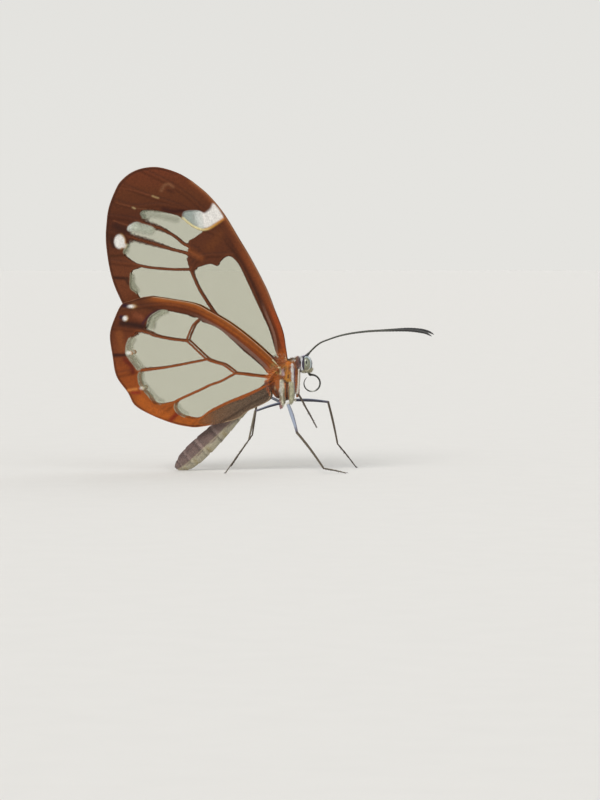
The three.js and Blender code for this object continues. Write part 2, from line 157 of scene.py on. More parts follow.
# Veins with their half widths at root and margin
FOREWING_VEINS = {
    "cubitus": ([
        (-0.8, 13.2), (-3.44, 14.75), (-6.15, 16.85), (-8.86, 19.05), (-9.74, 20.15), (-10.49, 21.29),
        (-11.24, 22.55), (-11.75, 23.68), (-12.24, 24.78),
    ], 0.14, 0.12),
    "media_3": (
        [(-12.24, 24.78), (-14.76, 24.8), (-17.4, 25.03), (-19.35, 25.42), (-22.31, 25.77)], 0.12, 0.12,
    ),
    "media_2": ([
        (-11.56, 26.32), (-12.83, 26.81), (-14.59, 27.27), (-16.78, 27.93), (-19.63, 28.72), (-22.63, 29.4),
    ], 0.17, 0.12),
    "media_1": ([
        (-11.44, 27.18), (-13.04, 27.92), (-14.14, 28.81), (-15.68, 29.69), (-17.1, 30.16), (-19.68, 31.0),
        (-22.51, 31.36),
    ], 0.15, 0.10),
    "radius": ([
        (-0.8, 13.78), (-2.3, 17.71), (-4.2, 21.89), (-5.72, 24.97), (-7.26, 27.68), (-9.22, 30.38),
        (-11.56, 32.96), (-14.76, 35.3), (-18.2, 37.0),
    ], 0.12, 0.09),
    "sector": (
        [(-8.36, 28.91), (-10.46, 29.89), (-12.91, 32.23), (-17.34, 33.83), (-20.66, 35.12)], 0.10, 0.08,
    ),
    "radius_5": ([(-12.91, 32.23), (-15.99, 32.72), (-19.31, 32.53), (-21.9, 33.3)], 0.09, 0.08),
    "cross": (
        [(-6.64, 26.69), (-8.73, 26.57), (-10.46, 26.45), (-11.56, 25.83), (-12.24, 24.78)], 0.10, 0.10,
    ),
}
HINDWING_VEINS = {
    "stem": ([(-1.48, 11.93), (-2.21, 11.61), (-4.22, 11.76), (-5.47, 11.92), (-6.67, 12.05)], 0.09, 0.09),
    "cubitus_2": ([
        (-6.67, 12.05), (-7.54, 11.55), (-8.61, 10.98), (-9.74, 10.6), (-11.0, 9.98), (-12.25, 9.41),
        (-14.27, 8.4), (-16.24, 6.64),
    ], 0.09, 0.12),
    "cell_end": ([
        (-6.67, 12.05), (-7.48, 12.68), (-8.17, 13.12), (-9.11, 13.38), (-10.05, 13.75), (-11.0, 14.56),
        (-11.93, 15.45), (-12.56, 16.01),
    ], 0.09, 0.09),
    "cubitus_1": ([
        (-10.05, 13.75), (-12.25, 13.31), (-15.22, 12.74), (-16.78, 12.55), (-18.98, 12.3), (-21.28, 11.81),
    ], 0.09, 0.11),
    "media": ([
        (-12.56, 16.01), (-13.53, 16.11), (-14.76, 16.26), (-16.48, 16.63), (-18.03, 17.2), (-21.83, 17.71),
    ], 0.09, 0.09),
    "sector": (
        [(-12.56, 16.01), (-12.44, 16.52), (-12.13, 17.27), (-11.75, 18.02), (-11.12, 18.65)], 0.09, 0.09,
    ),
    "radius": ([
        (-1.29, 12.55), (-3.44, 14.51), (-6.15, 16.61), (-9.22, 18.63), (-12.3, 19.93), (-15.38, 20.44),
        (-20.42, 20.0),
    ], 0.08, 0.06),
    "anal_2": ([
        (-1.6, 11.32), (-2.64, 10.54), (-3.9, 9.91), (-5.66, 9.1), (-7.23, 8.54), (-9.74, 7.34),
    (-11.56, 5.6),
    ], 0.08, 0.09),
    "anal_3": ([(-1.84, 10.82), (-2.71, 9.47), (-4.92, 8.24), (-6.64, 7.07), (-8.36, 6.1)], 0.08, 0.07),
}

# White marks as outlines or as ellipses: middle, radii, strength
WHITE_BAND = [
    (-9.29, 32.85), (-8.1, 31.1), (-8.86, 30.6), (-9.84, 30.0), (-10.5, 29.86), (-11.0, 30.2), (-11.25, 30.9),
    (-11.35, 31.6), (-11.0, 31.9), (-10.5, 31.72), (-10.1, 31.95), (-9.72, 32.3),
]
HAZY_BAND = [
    (-10.6, 29.66), (-11.69, 30.1), (-12.55, 30.72), (-13.15, 31.25), (-13.0, 31.8), (-12.3, 31.98),
    (-11.0, 31.92), (-10.6, 31.0),
]
BAND_RIM = [
    (-13.15, 31.1), (-12.5, 30.55), (-11.7, 30.0), (-10.7, 29.66), (-9.8, 29.88), (-8.9, 30.45),
    (-8.1, 31.0),
]
FOREWING_SPOTS = [
    ((-20.98, 28.2), (0.66, 0.86), 1.0),
    ((-20.45, 27.72), (0.3, 0.3), 0.8),
]
HINDWING_SPOTS = [
    ((-19.4, 20.25), (0.42, 0.2), 1.0),
    ((-20.16, 18.78), (0.3, 0.3), 1.0),
    ((-19.68, 14.55), (0.36, 0.2), 0.9),
    ((-18.15, 10.2), (0.24, 0.16), 0.7),
]
# Thin veils of pale scales over the clear membrane: path, half width, share covered, colour
FOREWING_VEILS = [
    ([(-19.5, 30.05), (-18.9, 29.95)], 0.62, 0.96, "#dfe3da"),
    ([(-18.9, 29.95), (-18.2, 29.75), (-17.3, 29.6)], 0.6, 0.6, "#cfd4c4"),
    ([(-17.9, 31.5), (-16.4, 31.4), (-14.0, 30.9)], 0.5, 0.16, "#9aa08c"),
    ([(-19.6, 23.9), (-19.5, 23.0), (-19.0, 22.2)], 0.45, 0.34, "#a3a58c"),
    ([(-20.1, 27.6), (-20.2, 27.0)], 0.35, 0.25, "#a3a58c"),
]
HINDWING_VEILS = [
    ([(-15.4, 19.6), (-16.3, 19.2), (-16.95, 18.5), (-17.1, 17.7)], 0.42, 0.42, "#b3b6a0"),
    ([(-19.5, 16.1), (-19.8, 15.3), (-19.7, 14.3), (-19.0, 13.4), (-18.5, 12.7)], 0.32, 0.4, "#b9bba6"),
    ([(-18.4, 11.9), (-18.3, 11.0), (-17.6, 10.0), (-16.7, 8.95), (-15.9, 8.5)], 0.3, 0.22, "#a9ab93"),
    ([(-13.95, 8.0), (-13.6, 7.4), (-12.9, 6.95)], 0.3, 0.22, "#a9ab93"),
]
# Marks in the scales: path, half width, colour, softness
FOREWING_STROKES = [
    ([(-15.8, 34.45), (-15.4, 35.1), (-14.85, 35.25), (-14.35, 34.9)], 0.06, "#8d5c3d", 0.3),
    ([(-15.0, 34.5), (-14.4, 34.3)], 0.05, "#522611", 0.4),
    ([(-16.9, 33.8), (-16.6, 33.68), (-16.2, 33.55)], 0.04, "#b89868", 0.16),
    ([(-19.35, 32.4), (-19.05, 32.25)], 0.04, "#c8ac7c", 0.14),
    ([(-18.9, 32.3), (-17.6, 32.15)], 0.04, "#7b4a2d", 0.12),
    ([(-21.7, 30.75), (-20.0, 30.2)], 0.04, "#80472a", 0.1),
    ([(-21.4, 32.95), (-19.6, 32.5)], 0.04, "#7d4528", 0.1),
    ([(-20.9, 34.85), (-19.0, 34.4), (-17.1, 33.85)], 0.04, "#7a4025", 0.1),
    ([(-21.5, 30.1), (-20.4, 29.6)], 0.3, "#431f10", 0.5),
    ([(-13.1, 31.95), (-14.4, 31.9), (-15.6, 32.2)], 0.12, "#3f170c", 0.35),
    ([(-13.0, 27.5), (-11.8, 26.7), (-10.9, 26.2)], 0.1, "#8f4c22", 0.6),
    ([(-9.9, 27.5), (-9.0, 28.4), (-8.6, 29.2)], 0.3, "#6f3a1a", 0.8),
    ([(-21.6, 23.75), (-20.0, 23.65)], 0.14, "#45210f", 0.2),
    ([(-20.2, 23.65), (-19.9, 23.0)], 0.1, "#4d2814", 0.2),
    ([(-22.2, 26.4), (-20.4, 26.5)], 0.1, "#52290f", 0.25),
    ([(-22.0, 28.6), (-21.7, 27.6)], 0.14, "#3f1e10", 0.3),
]
HINDWING_STROKES = [
    ([(-20.3, 20.35), (-19.9, 20.3)], 0.16, "#35182a", 0.25),
    ([(-20.7, 18.95), (-20.45, 18.9)], 0.16, "#35182a", 0.25),
    ([(-20.6, 18.2), (-19.2, 18.0), (-17.9, 17.75)], 0.24, "#3b1b10", 0.4),
    ([(-18.0, 18.1), (-17.6, 18.7), (-16.9, 19.35), (-15.9, 19.8)], 0.1, "#4a2026", 0.2),
    ([(-18.9, 19.2), (-18.2, 18.9)], 0.2, "#87482a", 0.5),
    ([(-21.5, 14.25), (-20.1, 14.3)], 0.15, "#3c1a10", 0.25),
    ([(-20.2, 13.7), (-19.4, 12.9), (-19.2, 12.2)], 0.16, "#6d2411", 0.4),
    ([(-19.75, 9.95), (-18.8, 10.1)], 0.14, "#d48240", 0.15),
    ([(-19.3, 9.65), (-18.4, 9.65)], 0.13, "#96361a", 0.2),
    ([(-17.3, 7.3), (-17.0, 7.9)], 0.12, "#8a4030", 0.25),
    ([(-14.5, 6.35), (-13.9, 6.95), (-13.5, 7.3)], 0.2, "#8a2f12", 0.3),
    ([(-20.9, 16.9), (-20.6, 15.0)], 0.3, "#8a4a22", 0.5),
    ([(-18.3, 8.9), (-16.9, 7.5), (-15.2, 6.9)], 0.35, "#bb6220", 0.4),
]

# Shape of the body: middles, radii and pitch in degrees
THORAX_FORMS = [
    ((-0.72, 0, 12.05), (1.9, 1.2, 1.6), 38),
    ((-1.5, 0, 10.7), (0.9, 1.04, 1.7), 8),
    ((-0.35, 0, 10.6), (0.9, 0.85, 1.85), -4),
    ((0.35, 0, 13.42), (0.5, 0.56, 0.46), 0),
    ((0.98, 0, 13.3), (0.5, 0.56, 0.72), 0),
]
COXA_FORMS = [
    ((-0.78, 0.6, 9.55), (0.36, 0.46, 1.8), -9),
    ((0.2, 0.52, 9.9), (0.34, 0.42, 1.6), -2),
    ((0.82, 0.4, 10.9), (0.24, 0.3, 1.7), 5),
]
HEAD_FORM = ((1.76, 0, 13.14), (0.86, 0.78, 0.96), 0)
ABDOMEN_PATH = [
    (-2.3, 10.75), (-3.1, 10.05), (-4.67, 8.73), (-6.3, 7.25), (-8.45, 5.2), (-10.3, 3.45), (-11.85, 2.0),
    (-12.95, 1.04), (-13.75, 0.5), (-14.05, 0.32),
]
ABDOMEN_RADII = [
    (0.55, 0.62), (0.5, 0.54), (0.6, 0.58), (0.7, 0.76), (0.9, 1.08), (1.0, 1.26), (0.97, 1.27), (0.82, 1.08),
    (0.46, 0.62), (0.2, 0.3),
]
ABDOMEN_SEGMENTS = 8
# The rings run a little past the eighth, which the tip cuts short
RING_STRETCH = 1.05

FEELER_PATH = [
    (1.86, 14.0), (3.44, 15.56), (4.92, 16.24), (6.76, 16.79), (9.22, 17.16), (12.3, 17.34), (14.76, 17.4),
    (16.61, 17.16), (17.55, 16.72),
]
# Half the gap between the feelers at their bases and at their tips
FEELER_GAPS = (0.3, 4.2)
FEELER_RINGS = 42
COIL_MIDDLE, COIL_RADIUS = (2.68, 10.78), 1.06
# The skin's mesh size, and how far the skin, spines and claws stay above the floor
SKIN_STEP = 0.055
FLOOR_GAP = 0.03
# Points round the feelers, the tongue and the legs
ROUND = 12

# Hip, knee, ankle and toe of each leg, and the radii of thigh, shin and foot at start, middle and end
LEGS = {
    "midleg_right": (
        [(-0.2, -0.5, 8.2), (1.15, -4.0, 4.92), (4.45, -4.8, 0.62), (7.2, -5.3, 0.1)],
        [(0.2, 0.25, 0.15), (0.16, 0.15, 0.12), (0.11, 0.1, 0.07)],
    ),
    "midleg_left": (
        [(0.6, 0.6, 8.7), (4.5, 3.2, 8.35), (5.6, 4.4, 3.1), (7.9, 5.2, 0.1)],
        [(0.18, 0.2, 0.14), (0.14, 0.14, 0.11), (0.1, 0.1, 0.07)],
    ),
    "hindleg_right": (
        [(-0.95, -0.5, 8.4), (-4.0, -3.9, 7.5), (-4.6, -6.0, 4.1), (-7.4, -6.8, 0.1)],
        [(0.17, 0.17, 0.12), (0.12, 0.12, 0.1), (0.1, 0.09, 0.07)],
    ),
    "hindleg_left": (
        [(-0.95, 0.5, 8.3), (-4.3, 4.2, 9.4), (-5.15, 6.0, 4.1), (-7.9, 6.8, 0.1)],
        [(0.17, 0.18, 0.12), (0.13, 0.13, 0.1), (0.1, 0.09, 0.07)],
    ),
}
FORELEG_JOINTS = [(1.15, 0.66, 12.5), (1.0, 0.6, 9.5), (1.95, 0.59, 7.8), (3.32, 0.58, 5.29)]
FORELEG_RADII = [(0.09, 0.12, 0.07), (0.08, 0.075, 0.06), (0.06, 0.055, 0.035)]
for foreleg_side, outwards in SIDES.items():
    mirrored = [(x, outwards * y, z) for x, y, z in FORELEG_JOINTS]
    LEGS[f"foreleg_{foreleg_side}"] = (mirrored, FORELEG_RADII)


def place(x, y, z):
    """A point in the frame, in metres, from a point in millimetres about the thorax."""
    return Vector(((x + OFFSET_X) * MM, y * MM, z * MM))


def to_frame(points):
    """An array of millimetre points as frame metres."""
    return (np.asarray(points, float) + (OFFSET_X, 0, 0)) * MM


def linear(code):
    """Linear RGB of an sRGB hex colour."""
    srgb = [int(code[i : i + 2], 16) / 255 for i in (1, 3, 5)]
    return np.array([c / 12.92 if c <= 0.04045 else ((c + 0.055) / 1.055) ** 2.4 for c in srgb])


def smooth(low, high, value):
    """0 below low, 1 above high and an S curve between."""
    t = np.clip((value - low) / (high - low), 0, 1)
    return t * t * (3 - 2 * t)


def bell(value, middle, width):
    """1 at the middle, falling off to both sides over the width."""
    return np.exp(-(((value - middle) / width) ** 2))


def unit(vectors):
    """Vectors of length one in the same directions."""
    return vectors / np.maximum(np.linalg.norm(vectors, axis=-1, keepdims=True), 1e-9)


def spline(points, steps, closed=False):
    """A Catmull-Rom curve through the points, with steps samples for each stretch."""
    knots = np.asarray(points, float)
    if closed:
        knots = np.vstack([knots[-1:], knots, knots[:2]])
    else:
        knots = np.vstack([2 * knots[:1] - knots[1:2], knots, 2 * knots[-1:] - knots[-2:-1]])
    t = np.linspace(0, 1, steps, endpoint=False)[:, None]
    made = []
    for a, b, c, d in zip(knots, knots[1:], knots[2:], knots[3:]):
        square, cube = 2 * a - 5 * b + 4 * c - d, 3 * b - a - 3 * c + d
        made.append(0.5 * (2 * b + (c - a) * t + square * t**2 + cube * t**3))
    if not closed:
        made.append(knots[-2:-1])
    return np.vstack(made)


def evenly(points, count):
    """The same path with count points at even steps of its length."""
    path = np.asarray(points, float)
    reach = lengths_along(path)
    where = np.linspace(0, reach[-1], count)
    return np.stack([np.interp(where, reach, path[:, k]) for k in range(path.shape[1])], axis=1)


def lengths_along(path):
    """How far along a path each of its points lies."""
    return np.concatenate([[0], np.cumsum(np.linalg.norm(np.diff(path, axis=0), axis=1))])


def distance_to(points, path, closed=False):
    """Distance of each point to a polyline, and how far along the line its nearest place lies, 0 to 1."""
    path = np.asarray(path, float)
    ends = np.roll(path, -1, axis=0) if closed else path[1:]
    starts = path if closed else path[:-1]
    best = np.full(len(points), 1e9)
    along = np.zeros(len(points))
    for i, (a, b) in enumerate(zip(starts, ends)):
        edge = b - a
        t = np.clip(((points - a) @ edge) / max(edge @ edge, 1e-12), 0, 1)
        gap = np.linalg.norm(points - a - t[:, None] * edge, axis=1)
        nearer = gap < best
        best[nearer] = gap[nearer]
        along[nearer] = ((i + t) / len(starts))[nearer]
    return best, along


def gap_to(points, path, steps=4):
    """Distance of each point to the smooth curve through a path."""
    return distance_to(points, spline(path, steps))[0]


def depth_in(points, outline):
    """Signed distance to a smooth closed outline, positive inside."""
    loop = spline(outline, 4, closed=True)
    gap, _ = distance_to(points, loop, closed=True)
    inside = np.zeros(len(points), bool)
    for a, b in zip(loop, np.roll(loop, -1, axis=0)):
        crosses = (a[1] > points[:, 1]) != (b[1] > points[:, 1])
        rise = (b[1] - a[1]) or 1e-12
        inside ^= crosses & (points[:, 0] < (b[0] - a[0]) * (points[:, 1] - a[1]) / rise + a[0])
    return np.where(inside, gap, -gap)


def ellipse_depth(points, middle, radii):
    """Roughly the signed distance to an ellipse, positive inside."""
    return (1 - np.linalg.norm((points - middle) / radii, axis=1)) * min(radii)


def wobble(points, size, seed):
    """Smooth noise between about -1 and 1 at each point, with bumps of the given size."""
    wide = np.column_stack([points, np.zeros(len(points))]) if points.shape[1] == 2 else points
    shift = Vector((seed, seed * 0.7, seed * 1.3))
    return np.array([noise.noise(Vector(p / size) + shift) for p in wide])


def ramp(value, *stops):
    """Colours read off (value, hex colour) stops."""
    shades = np.array([linear(code) for _, code in stops])
    return np.stack([np.interp(value, [at for at, _ in stops], shades[:, k]) for k in range(3)], axis=1)


def plain(colour, points):
    """One colour for each of the points."""
    return np.tile(linear(colour) if isinstance(colour, str) else colour, (len(points), 1))


def lay(colours, *coats):
    """Colours with (shade, share at each point) coats laid over them one by one."""
    for shade, share in coats:
        over = linear(shade) if isinstance(shade, str) else shade
        colours = colours + (over - colours) * np.clip(share, 0, 1)[:, None]
    return colours


def lay_strokes(colours, xz, strokes):
    """Colours with painted strokes over them, each a path with a half width and a soft rim."""
    for path, half, code, soft in strokes:
        share = 1 - smooth(half - soft / 2, half + soft, gap_to(xz, path))
        colours = lay(colours, (code, share))
    return colours


def mesh_object(name, points, faces, material, coat=None):
    """A smooth mesh object from frame points in metres and lists of faces, with its coat colours."""
    mesh = bpy.data.meshes.new(name)
    mesh.from_pydata(np.asarray(points).tolist(), [], [list(map(int, f)) for f in faces])
    mesh.validate()
    mesh.update()
    made = bpy.data.objects.new(name, mesh)
    bpy.context.collection.objects.link(made)
    mesh.materials.append(material)
    mesh.polygons.foreach_set("use_smooth", [True] * len(mesh.polygons))
    if coat is not None:
        keep_values(made, "coat", coat)
    return made


def keep_values(made, name, values):
    """Stores one number or colour for each vertex under a name that a material reads."""
    if values.ndim == 1:
        store = made.data.attributes.new(name, "FLOAT", "POINT")
        store.data.foreach_set("value", values.astype(np.float32))
        return
    store = made.data.color_attributes.new(name, "FLOAT_COLOR", "POINT")
    full = np.column_stack([np.clip(values, 0, 1), np.ones(len(values))])
    store.data.foreach_set("color", full.astype(np.float32).ravel())


def read_flat(items, field, width, kind=float):
    """One field of all the vertices, loops or triangles of a mesh, as rows of width numbers."""
    values = np.empty(len(items) * width, kind)
    items.foreach_get(field, values)
    return values.reshape(-1, width)


def take_out(work):
    """Points and faces of a bmesh, which is freed."""
    mesh = bpy.data.meshes.new("shape")
    work.to_mesh(mesh)
    work.free()
    points, faces = read_flat(mesh.vertices, "co", 3), [tuple(p.vertices) for p in mesh.polygons]
    bpy.data.meshes.remove(mesh)
    return points, faces


def tube(path, radii, sides=10):
    """Points and faces of a closed tube along a path, round or with radii (across, deep)."""
    path = np.asarray(path, float)
    radii = np.asarray(radii, float)
    if radii.ndim == 1:
        radii = np.stack([radii, radii], axis=1)
    tangents = unit(np.gradient(path, axis=0))
    deep = unit(np.cross(tangents, (0, 1, 0)))
    across = np.cross(deep, tangents)
    turn = np.linspace(0, 2 * np.pi, sides, endpoint=False)[None, :, None]
    rings = path[:, None] + across[:, None] * (radii[:, :1, None] * np.cos(turn))
    rings = rings + deep[:, None] * (radii[:, 1:, None] * np.sin(turn))
    points = np.vstack([rings.reshape(-1, 3), path[0], path[-1]])
    faces = []
    first = len(path) * sides
    last = first - sides
    for k in range(sides):
        after = (k + 1) % sides
        faces += [(i + k, i + after, i + sides + after, i + sides + k) for i in range(0, last, sides)]
        faces += [(first, after, k), (first + 1, last + k, last + after)]
    return points, faces


def ring_values(values, sides):
    """Values along a tube's path as values at its points, with 0 and 1 at the ends."""
    return np.append(np.repeat(values, sides), [0, 1])


def gather(parts):
    """Several (points, faces) as one."""
    points, faces, count = [], [], 0
    for some, theirs in parts:
        points.append(some)
        faces += [tuple(int(v) + count for v in f) for f in theirs]
        count += len(some)
    return np.vstack(points), faces


# Materials


def add(tree, kind, inputs=(), **settings):
    """One node with its settings; inputs maps a socket's name or number to a value, another socket or a
    node, whose first output is meant."""
    made = tree.nodes.new("ShaderNode" + kind)
    for name, value in settings.items():
        setattr(made, name, value)
    for name, value in dict(inputs).items():
        if isinstance(value, bpy.types.Node):
            value = value.outputs[0]
        if isinstance(value, bpy.types.NodeSocket):
            tree.links.new(value, made.inputs[name])
        else:
            made.inputs[name].default_value = value
    return made


def start_material(name):
    """An empty material, its node tree and the place on the object."""
    made = bpy.data.materials.new(name)
    made.use_nodes = True
    made.node_tree.nodes.clear()
    return made, made.node_tree, add(made.node_tree, "TexCoord").outputs["Object"]


def end_material(made, shader):
    """Joins the last shader to the material's output."""
    add(made.node_tree, "OutputMaterial", {"Surface": shader})
    return made


def shade(code):
    """A hex colour as the four numbers that a socket takes."""
    return (*linear(code), 1)


def wing_material(name, scale_size):
    """Chitin membrane, clear as cellophane and faintly glossy, with tiny overlapping scales that give
    the borders and veins a matt, satin brown. The scales are drawn at 0.14 mm, twice their real size."""
    made, tree, place_in = start_material(name)
    ground, clear, veil = (
        add(tree, "Attribute", attribute_name=stored).outputs[output]
        for stored, output in (("ground", "Color"), ("clear", "Fac"), ("veil", "Fac"))
    )
    grain = add(tree, "TexNoise", {"Vector": place_in, "Scale": 1 / (0.35 * MM), "Detail": 5.0})
    scales = add(tree, "TexVoronoi", {"Vector": place_in, "Scale": 1 / scale_size})
    ragged = add(tree, "Math", {0: grain, 1: 0.12, 2: -0.06}, operation="MULTIPLY_ADD")
    edge = add(tree, "Math", {0: clear, 1: ragged}, operation="ADD")
    rim = {"Value": edge, "From Min": -0.04, "From Max": 0.08}
    open_pane = add(tree, "MapRange", rim, interpolation_type="SMOOTHSTEP")
    flecks = add(tree, "MapRange", {"Value": scales, "From Max": 0.8, "To Min": 1.06, "To Max": 0.88})
    cover = add(tree, "Math", {0: veil, 1: flecks}, operation="MULTIPLY", use_clamp=True)
    bare = add(tree, "Math", {0: 1.0, 1: cover}, operation="SUBTRACT")
    through = add(tree, "Math", {0: open_pane, 1: bare}, operation="MULTIPLY")
    mottle = add(tree, "MapRange", {"Value": grain, "To Min": 0.78, "To Max": 1.24})
    cells = add(tree, "MapRange", {"Value": scales, "From Max": 0.8, "To Min": 1.12, "To Max": 0.8})
    worn = add(tree, "Math", {0: mottle, 1: cells}, operation="MULTIPLY")
    brown = add(tree, "VectorMath", {0: ground, "Scale": worn}, operation="SCALE")
    bump = add(tree, "Bump", {"Height": scales, "Distance": 0.03 * MM, "Strength": 0.5})
    satin = {"Roughness": 0.6, "IOR": 1.5, "Specular IOR Level": 0.22}
    scaled = add(tree, "BsdfPrincipled", {"Base Color": brown, "Normal": bump, **satin})
    glow = add(tree, "BsdfTranslucent", {"Color": brown})
    lit = add(tree, "MixShader", {0: 0.22, 1: scaled, 2: glow})
    air = add(tree, "BsdfTransparent", {"Color": shade("#f6f6f1")})
    gloss = add(tree, "BsdfPrincipled", {"Base Color": shade("#5d594c"), "Roughness": 0.16, "IOR": 1.56})
    film = add(tree, "MixShader", {0: 0.045, 1: air, 2: gloss})
    return end_material(made, add(tree, "MixShader", {0: through, 1: lit, 2: film}))


def grained_material(name, grain, mottle, relief, surface):
    """The colours stored on a mesh, broken up and roughened by a fine grain: its size in millimetres and
    its detail, its dark and light ends, its height in millimetres and its strength."""
    made, tree, place_in = start_material(name)
    coat = add(tree, "Attribute", attribute_name="coat")
    specks = add(tree, "TexNoise", {"Vector": place_in, "Scale": 1 / (grain[0] * MM), "Detail": grain[1]})
    tint = add(tree, "MapRange", {"Value": specks, "To Min": mottle[0], "To Max": mottle[1]})
    tone = add(tree, "VectorMath", {0: coat, "Scale": tint}, operation="SCALE")
    bump = add(tree, "Bump", {"Height": specks, "Distance": relief[0] * MM, "Strength": relief[1]})
    skin = add(tree, "BsdfPrincipled", {"Base Color": tone, "Normal": bump, **surface})
    return end_material(made, skin)


def fur_material(name, rough, sheen):
    """Hair scales of keratin-like chitin, soft and matt with a slight sheen along each strand."""
    surface = {"Roughness": rough, "Sheen Weight": sheen, "Sheen Roughness": 0.4}
    return grained_material(name, (0.12, 4.0), (0.6, 1.42), (0.05, 0.6), surface)


def horn_material(name, rough):
    """Bare chitin of the feelers, tongue and feet: dark, hard and a little glossy, with fine scales."""
    surface = {"Roughness": rough, "IOR": 1.56}
    return grained_material(name, (0.09, 3.0), (0.7, 1.3), (0.02, 0.5), surface)


def eye_material(name):
    """Compound eye: smooth cornea over facets, with a wet gloss. The facets are drawn at 0.07 mm,
    three times their real size."""
    made, tree, place_in = start_material(name)
    coat = add(tree, "Attribute", attribute_name="coat")
    facets = add(tree, "TexVoronoi", {"Vector": place_in, "Scale": 1 / (0.07 * MM), "Randomness": 0.25})
    tint = add(tree, "MapRange", {"Value": facets, "From Max": 0.6, "To Min": 1.12, "To Max": 0.72})
    tone = add(tree, "VectorMath", {0: coat, "Scale": tint}, operation="SCALE")
    bump = add(tree, "Bump", {"Height": facets, "Distance": 0.02 * MM, "Strength": 0.35}, invert=True)
    gloss = {"Roughness": 0.28, "IOR": 1.5, "Coat Weight": 0.7, "Coat Roughness": 0.06}
    return end_material(made, add(tree, "BsdfPrincipled", {"Base Color": tone, "Normal": bump, **gloss}))


def floor_material(name, colour):
    """Matt painted board, pale and even, with the faintest grain."""
    made, tree, place_in = start_material(name)
    grain = add(tree, "TexNoise", {"Vector": place_in, "Scale": 1 / (4 * MM), "Detail": 3.0})
    tone = add(tree, "Mix", {0: grain, 6: shade("#e2e0dc"), 7: (*colour, 1)}, data_type="RGBA")
    board = add(tree, "BsdfPrincipled", {"Base Color": tone.outputs[2], "Roughness": 0.9})
    return end_material(made, board)


# Wings

# Panes are wider along the parting veins, but not in the border, which ends between the two depths given.
# The layer is the distance from the middle plane by the share of the way from the root. The root bay is
# the hollow of the root edge, and size is the number of rows and columns of the net.
WINGS = {
    "forewing": {
        "edges": (FOREWING_COSTA, FOREWING_MARGIN, FOREWING_INNER),
        "panes": FOREWING_PANES,
        "veins": FOREWING_VEINS,
        "parting": ("cubitus", "media_3", "media_2", "media_1"),
        "border": (2.6, 4.4),
        "layer": lambda s: 0.62 + 0.1 * (1 - s),
        "root_bay": 0.0,
        "size": (240, 180),
        "vein_tone": "#7a4224",
        "strokes": FOREWING_STROKES,
        "veils": FOREWING_VEILS,
        "spots": FOREWING_SPOTS,
    },
    "hindwing": {
        "edges": (HINDWING_COSTA, HINDWING_MARGIN, HINDWING_INNER),
        "panes": HINDWING_PANES,
        "veins": HINDWING_VEINS,
        "parting": ("stem", "cubitus_2", "cell_end", "cubitus_1", "media", "sector"),
        "border": (2.2, 3.6),
        "layer": lambda s: 1.76 - 0.22 * (1 - np.minimum(1, s / 0.2)) + 0.12 * s * s,
        "root_bay": 0.75,
        "size": (220, 190),
        "vein_tone": "#96522a",
        "strokes": HINDWING_STROKES,
        "veils": HINDWING_VEILS,
        "spots": HINDWING_SPOTS,
    },
}
# A vein's own colour fades from a line this far inside its edge
VEIN_INSET = 0.13
VEIN_SIDES = 8
# Half the thickness of the bare membrane, what a vein adds to it, and the extra width of parted panes
MEMBRANE_HALF, VEIN_RELIEF = 0.035, 0.045
PANE_GROWTH = 0.32


def wing_net(wing):
    """A net over a wing's outline: x and z of each crossing, and its share of the way from the root."""
    rows, columns = wing["size"]
    costa, margin, inner = (spline(edge, 8) for edge in wing["edges"])
    lead, trail, rim = evenly(costa, rows), evenly(inner, rows), evenly(margin, columns)
    s = np.linspace(0, 1, rows)[:, None, None]
    t = np.linspace(0, 1, columns)[None, :, None]
    root = lead[0] + (trail[0] - lead[0]) * t + wing["root_bay"] * np.sin(np.pi * t) * (-1, 0)
    corners = (1 - s) * ((1 - t) * lead[0] + t * trail[0]) + s * ((1 - t) * lead[-1] + t * trail[-1])
    net = (1 - t) * lead[:, None] + t * trail[:, None] + (1 - s) * root + s * rim[None] - corners
    return net, np.broadcast_to(s[..., 0], (rows, columns))


def forewing_ground(x, z, costa_gap, rim_gap):
    """Scale colours of a forewing without its clear panes."""
    colours = ramp(
        z, (21, "#7a4022"), (26, "#6f3a1e"), (28.5, "#552913"), (31, "#5c2c15"), (34, "#693619"),
        (37, "#76391d"),
    )
    lower = ramp(
        costa_gap, (0.0, "#94502c"), (0.1, "#a2481b"), (0.42, "#a4481a"), (0.62, "#7c3814"),
        (0.88, "#6b3010"), (0.98, "#8f6552"), (1.2, "#8a6250"), (1.3, "#4a2312"), (1.5, "#3a1c0e"),
    )
    upper = ramp(
        costa_gap, (0.0, "#b98a6c"), (0.1, "#8f4f28"), (0.5, "#8a451d"), (0.8, "#763a18"), (1.1, "#5c2b10"),
        (1.3, "#431f0e"),
    )
    edge = ramp(costa_gap, (0.0, "#b07a52"), (0.15, "#8a4b27"), (0.6, "#6d3617"))
    high = smooth(25.5, 30.0, z)
    margin = 0.8 * smooth(-13.0, -16.0, x)
    return lay(
        colours,
        ("#64331a", smooth(-14.5, -12.5, x) * (1 - smooth(29.5, 31.0, z))),
        (lay(lower, (upper, smooth(18.5, 21.5, z))), (1 - smooth(1.25, 1.7, costa_gap)) * (1 - high)),
        (edge, high * (1 - smooth(0.3, 0.9, costa_gap))),
        ("#c0621f", (1 - smooth(0.3, 1.6, np.hypot(x + 0.6, z - 13.9))) * 0.9),
        ("#8a5a3a", bell(rim_gap, 0, 0.06) * margin),
        ("#38190c", bell(rim_gap, 0.2, 0.09) * margin),
    )


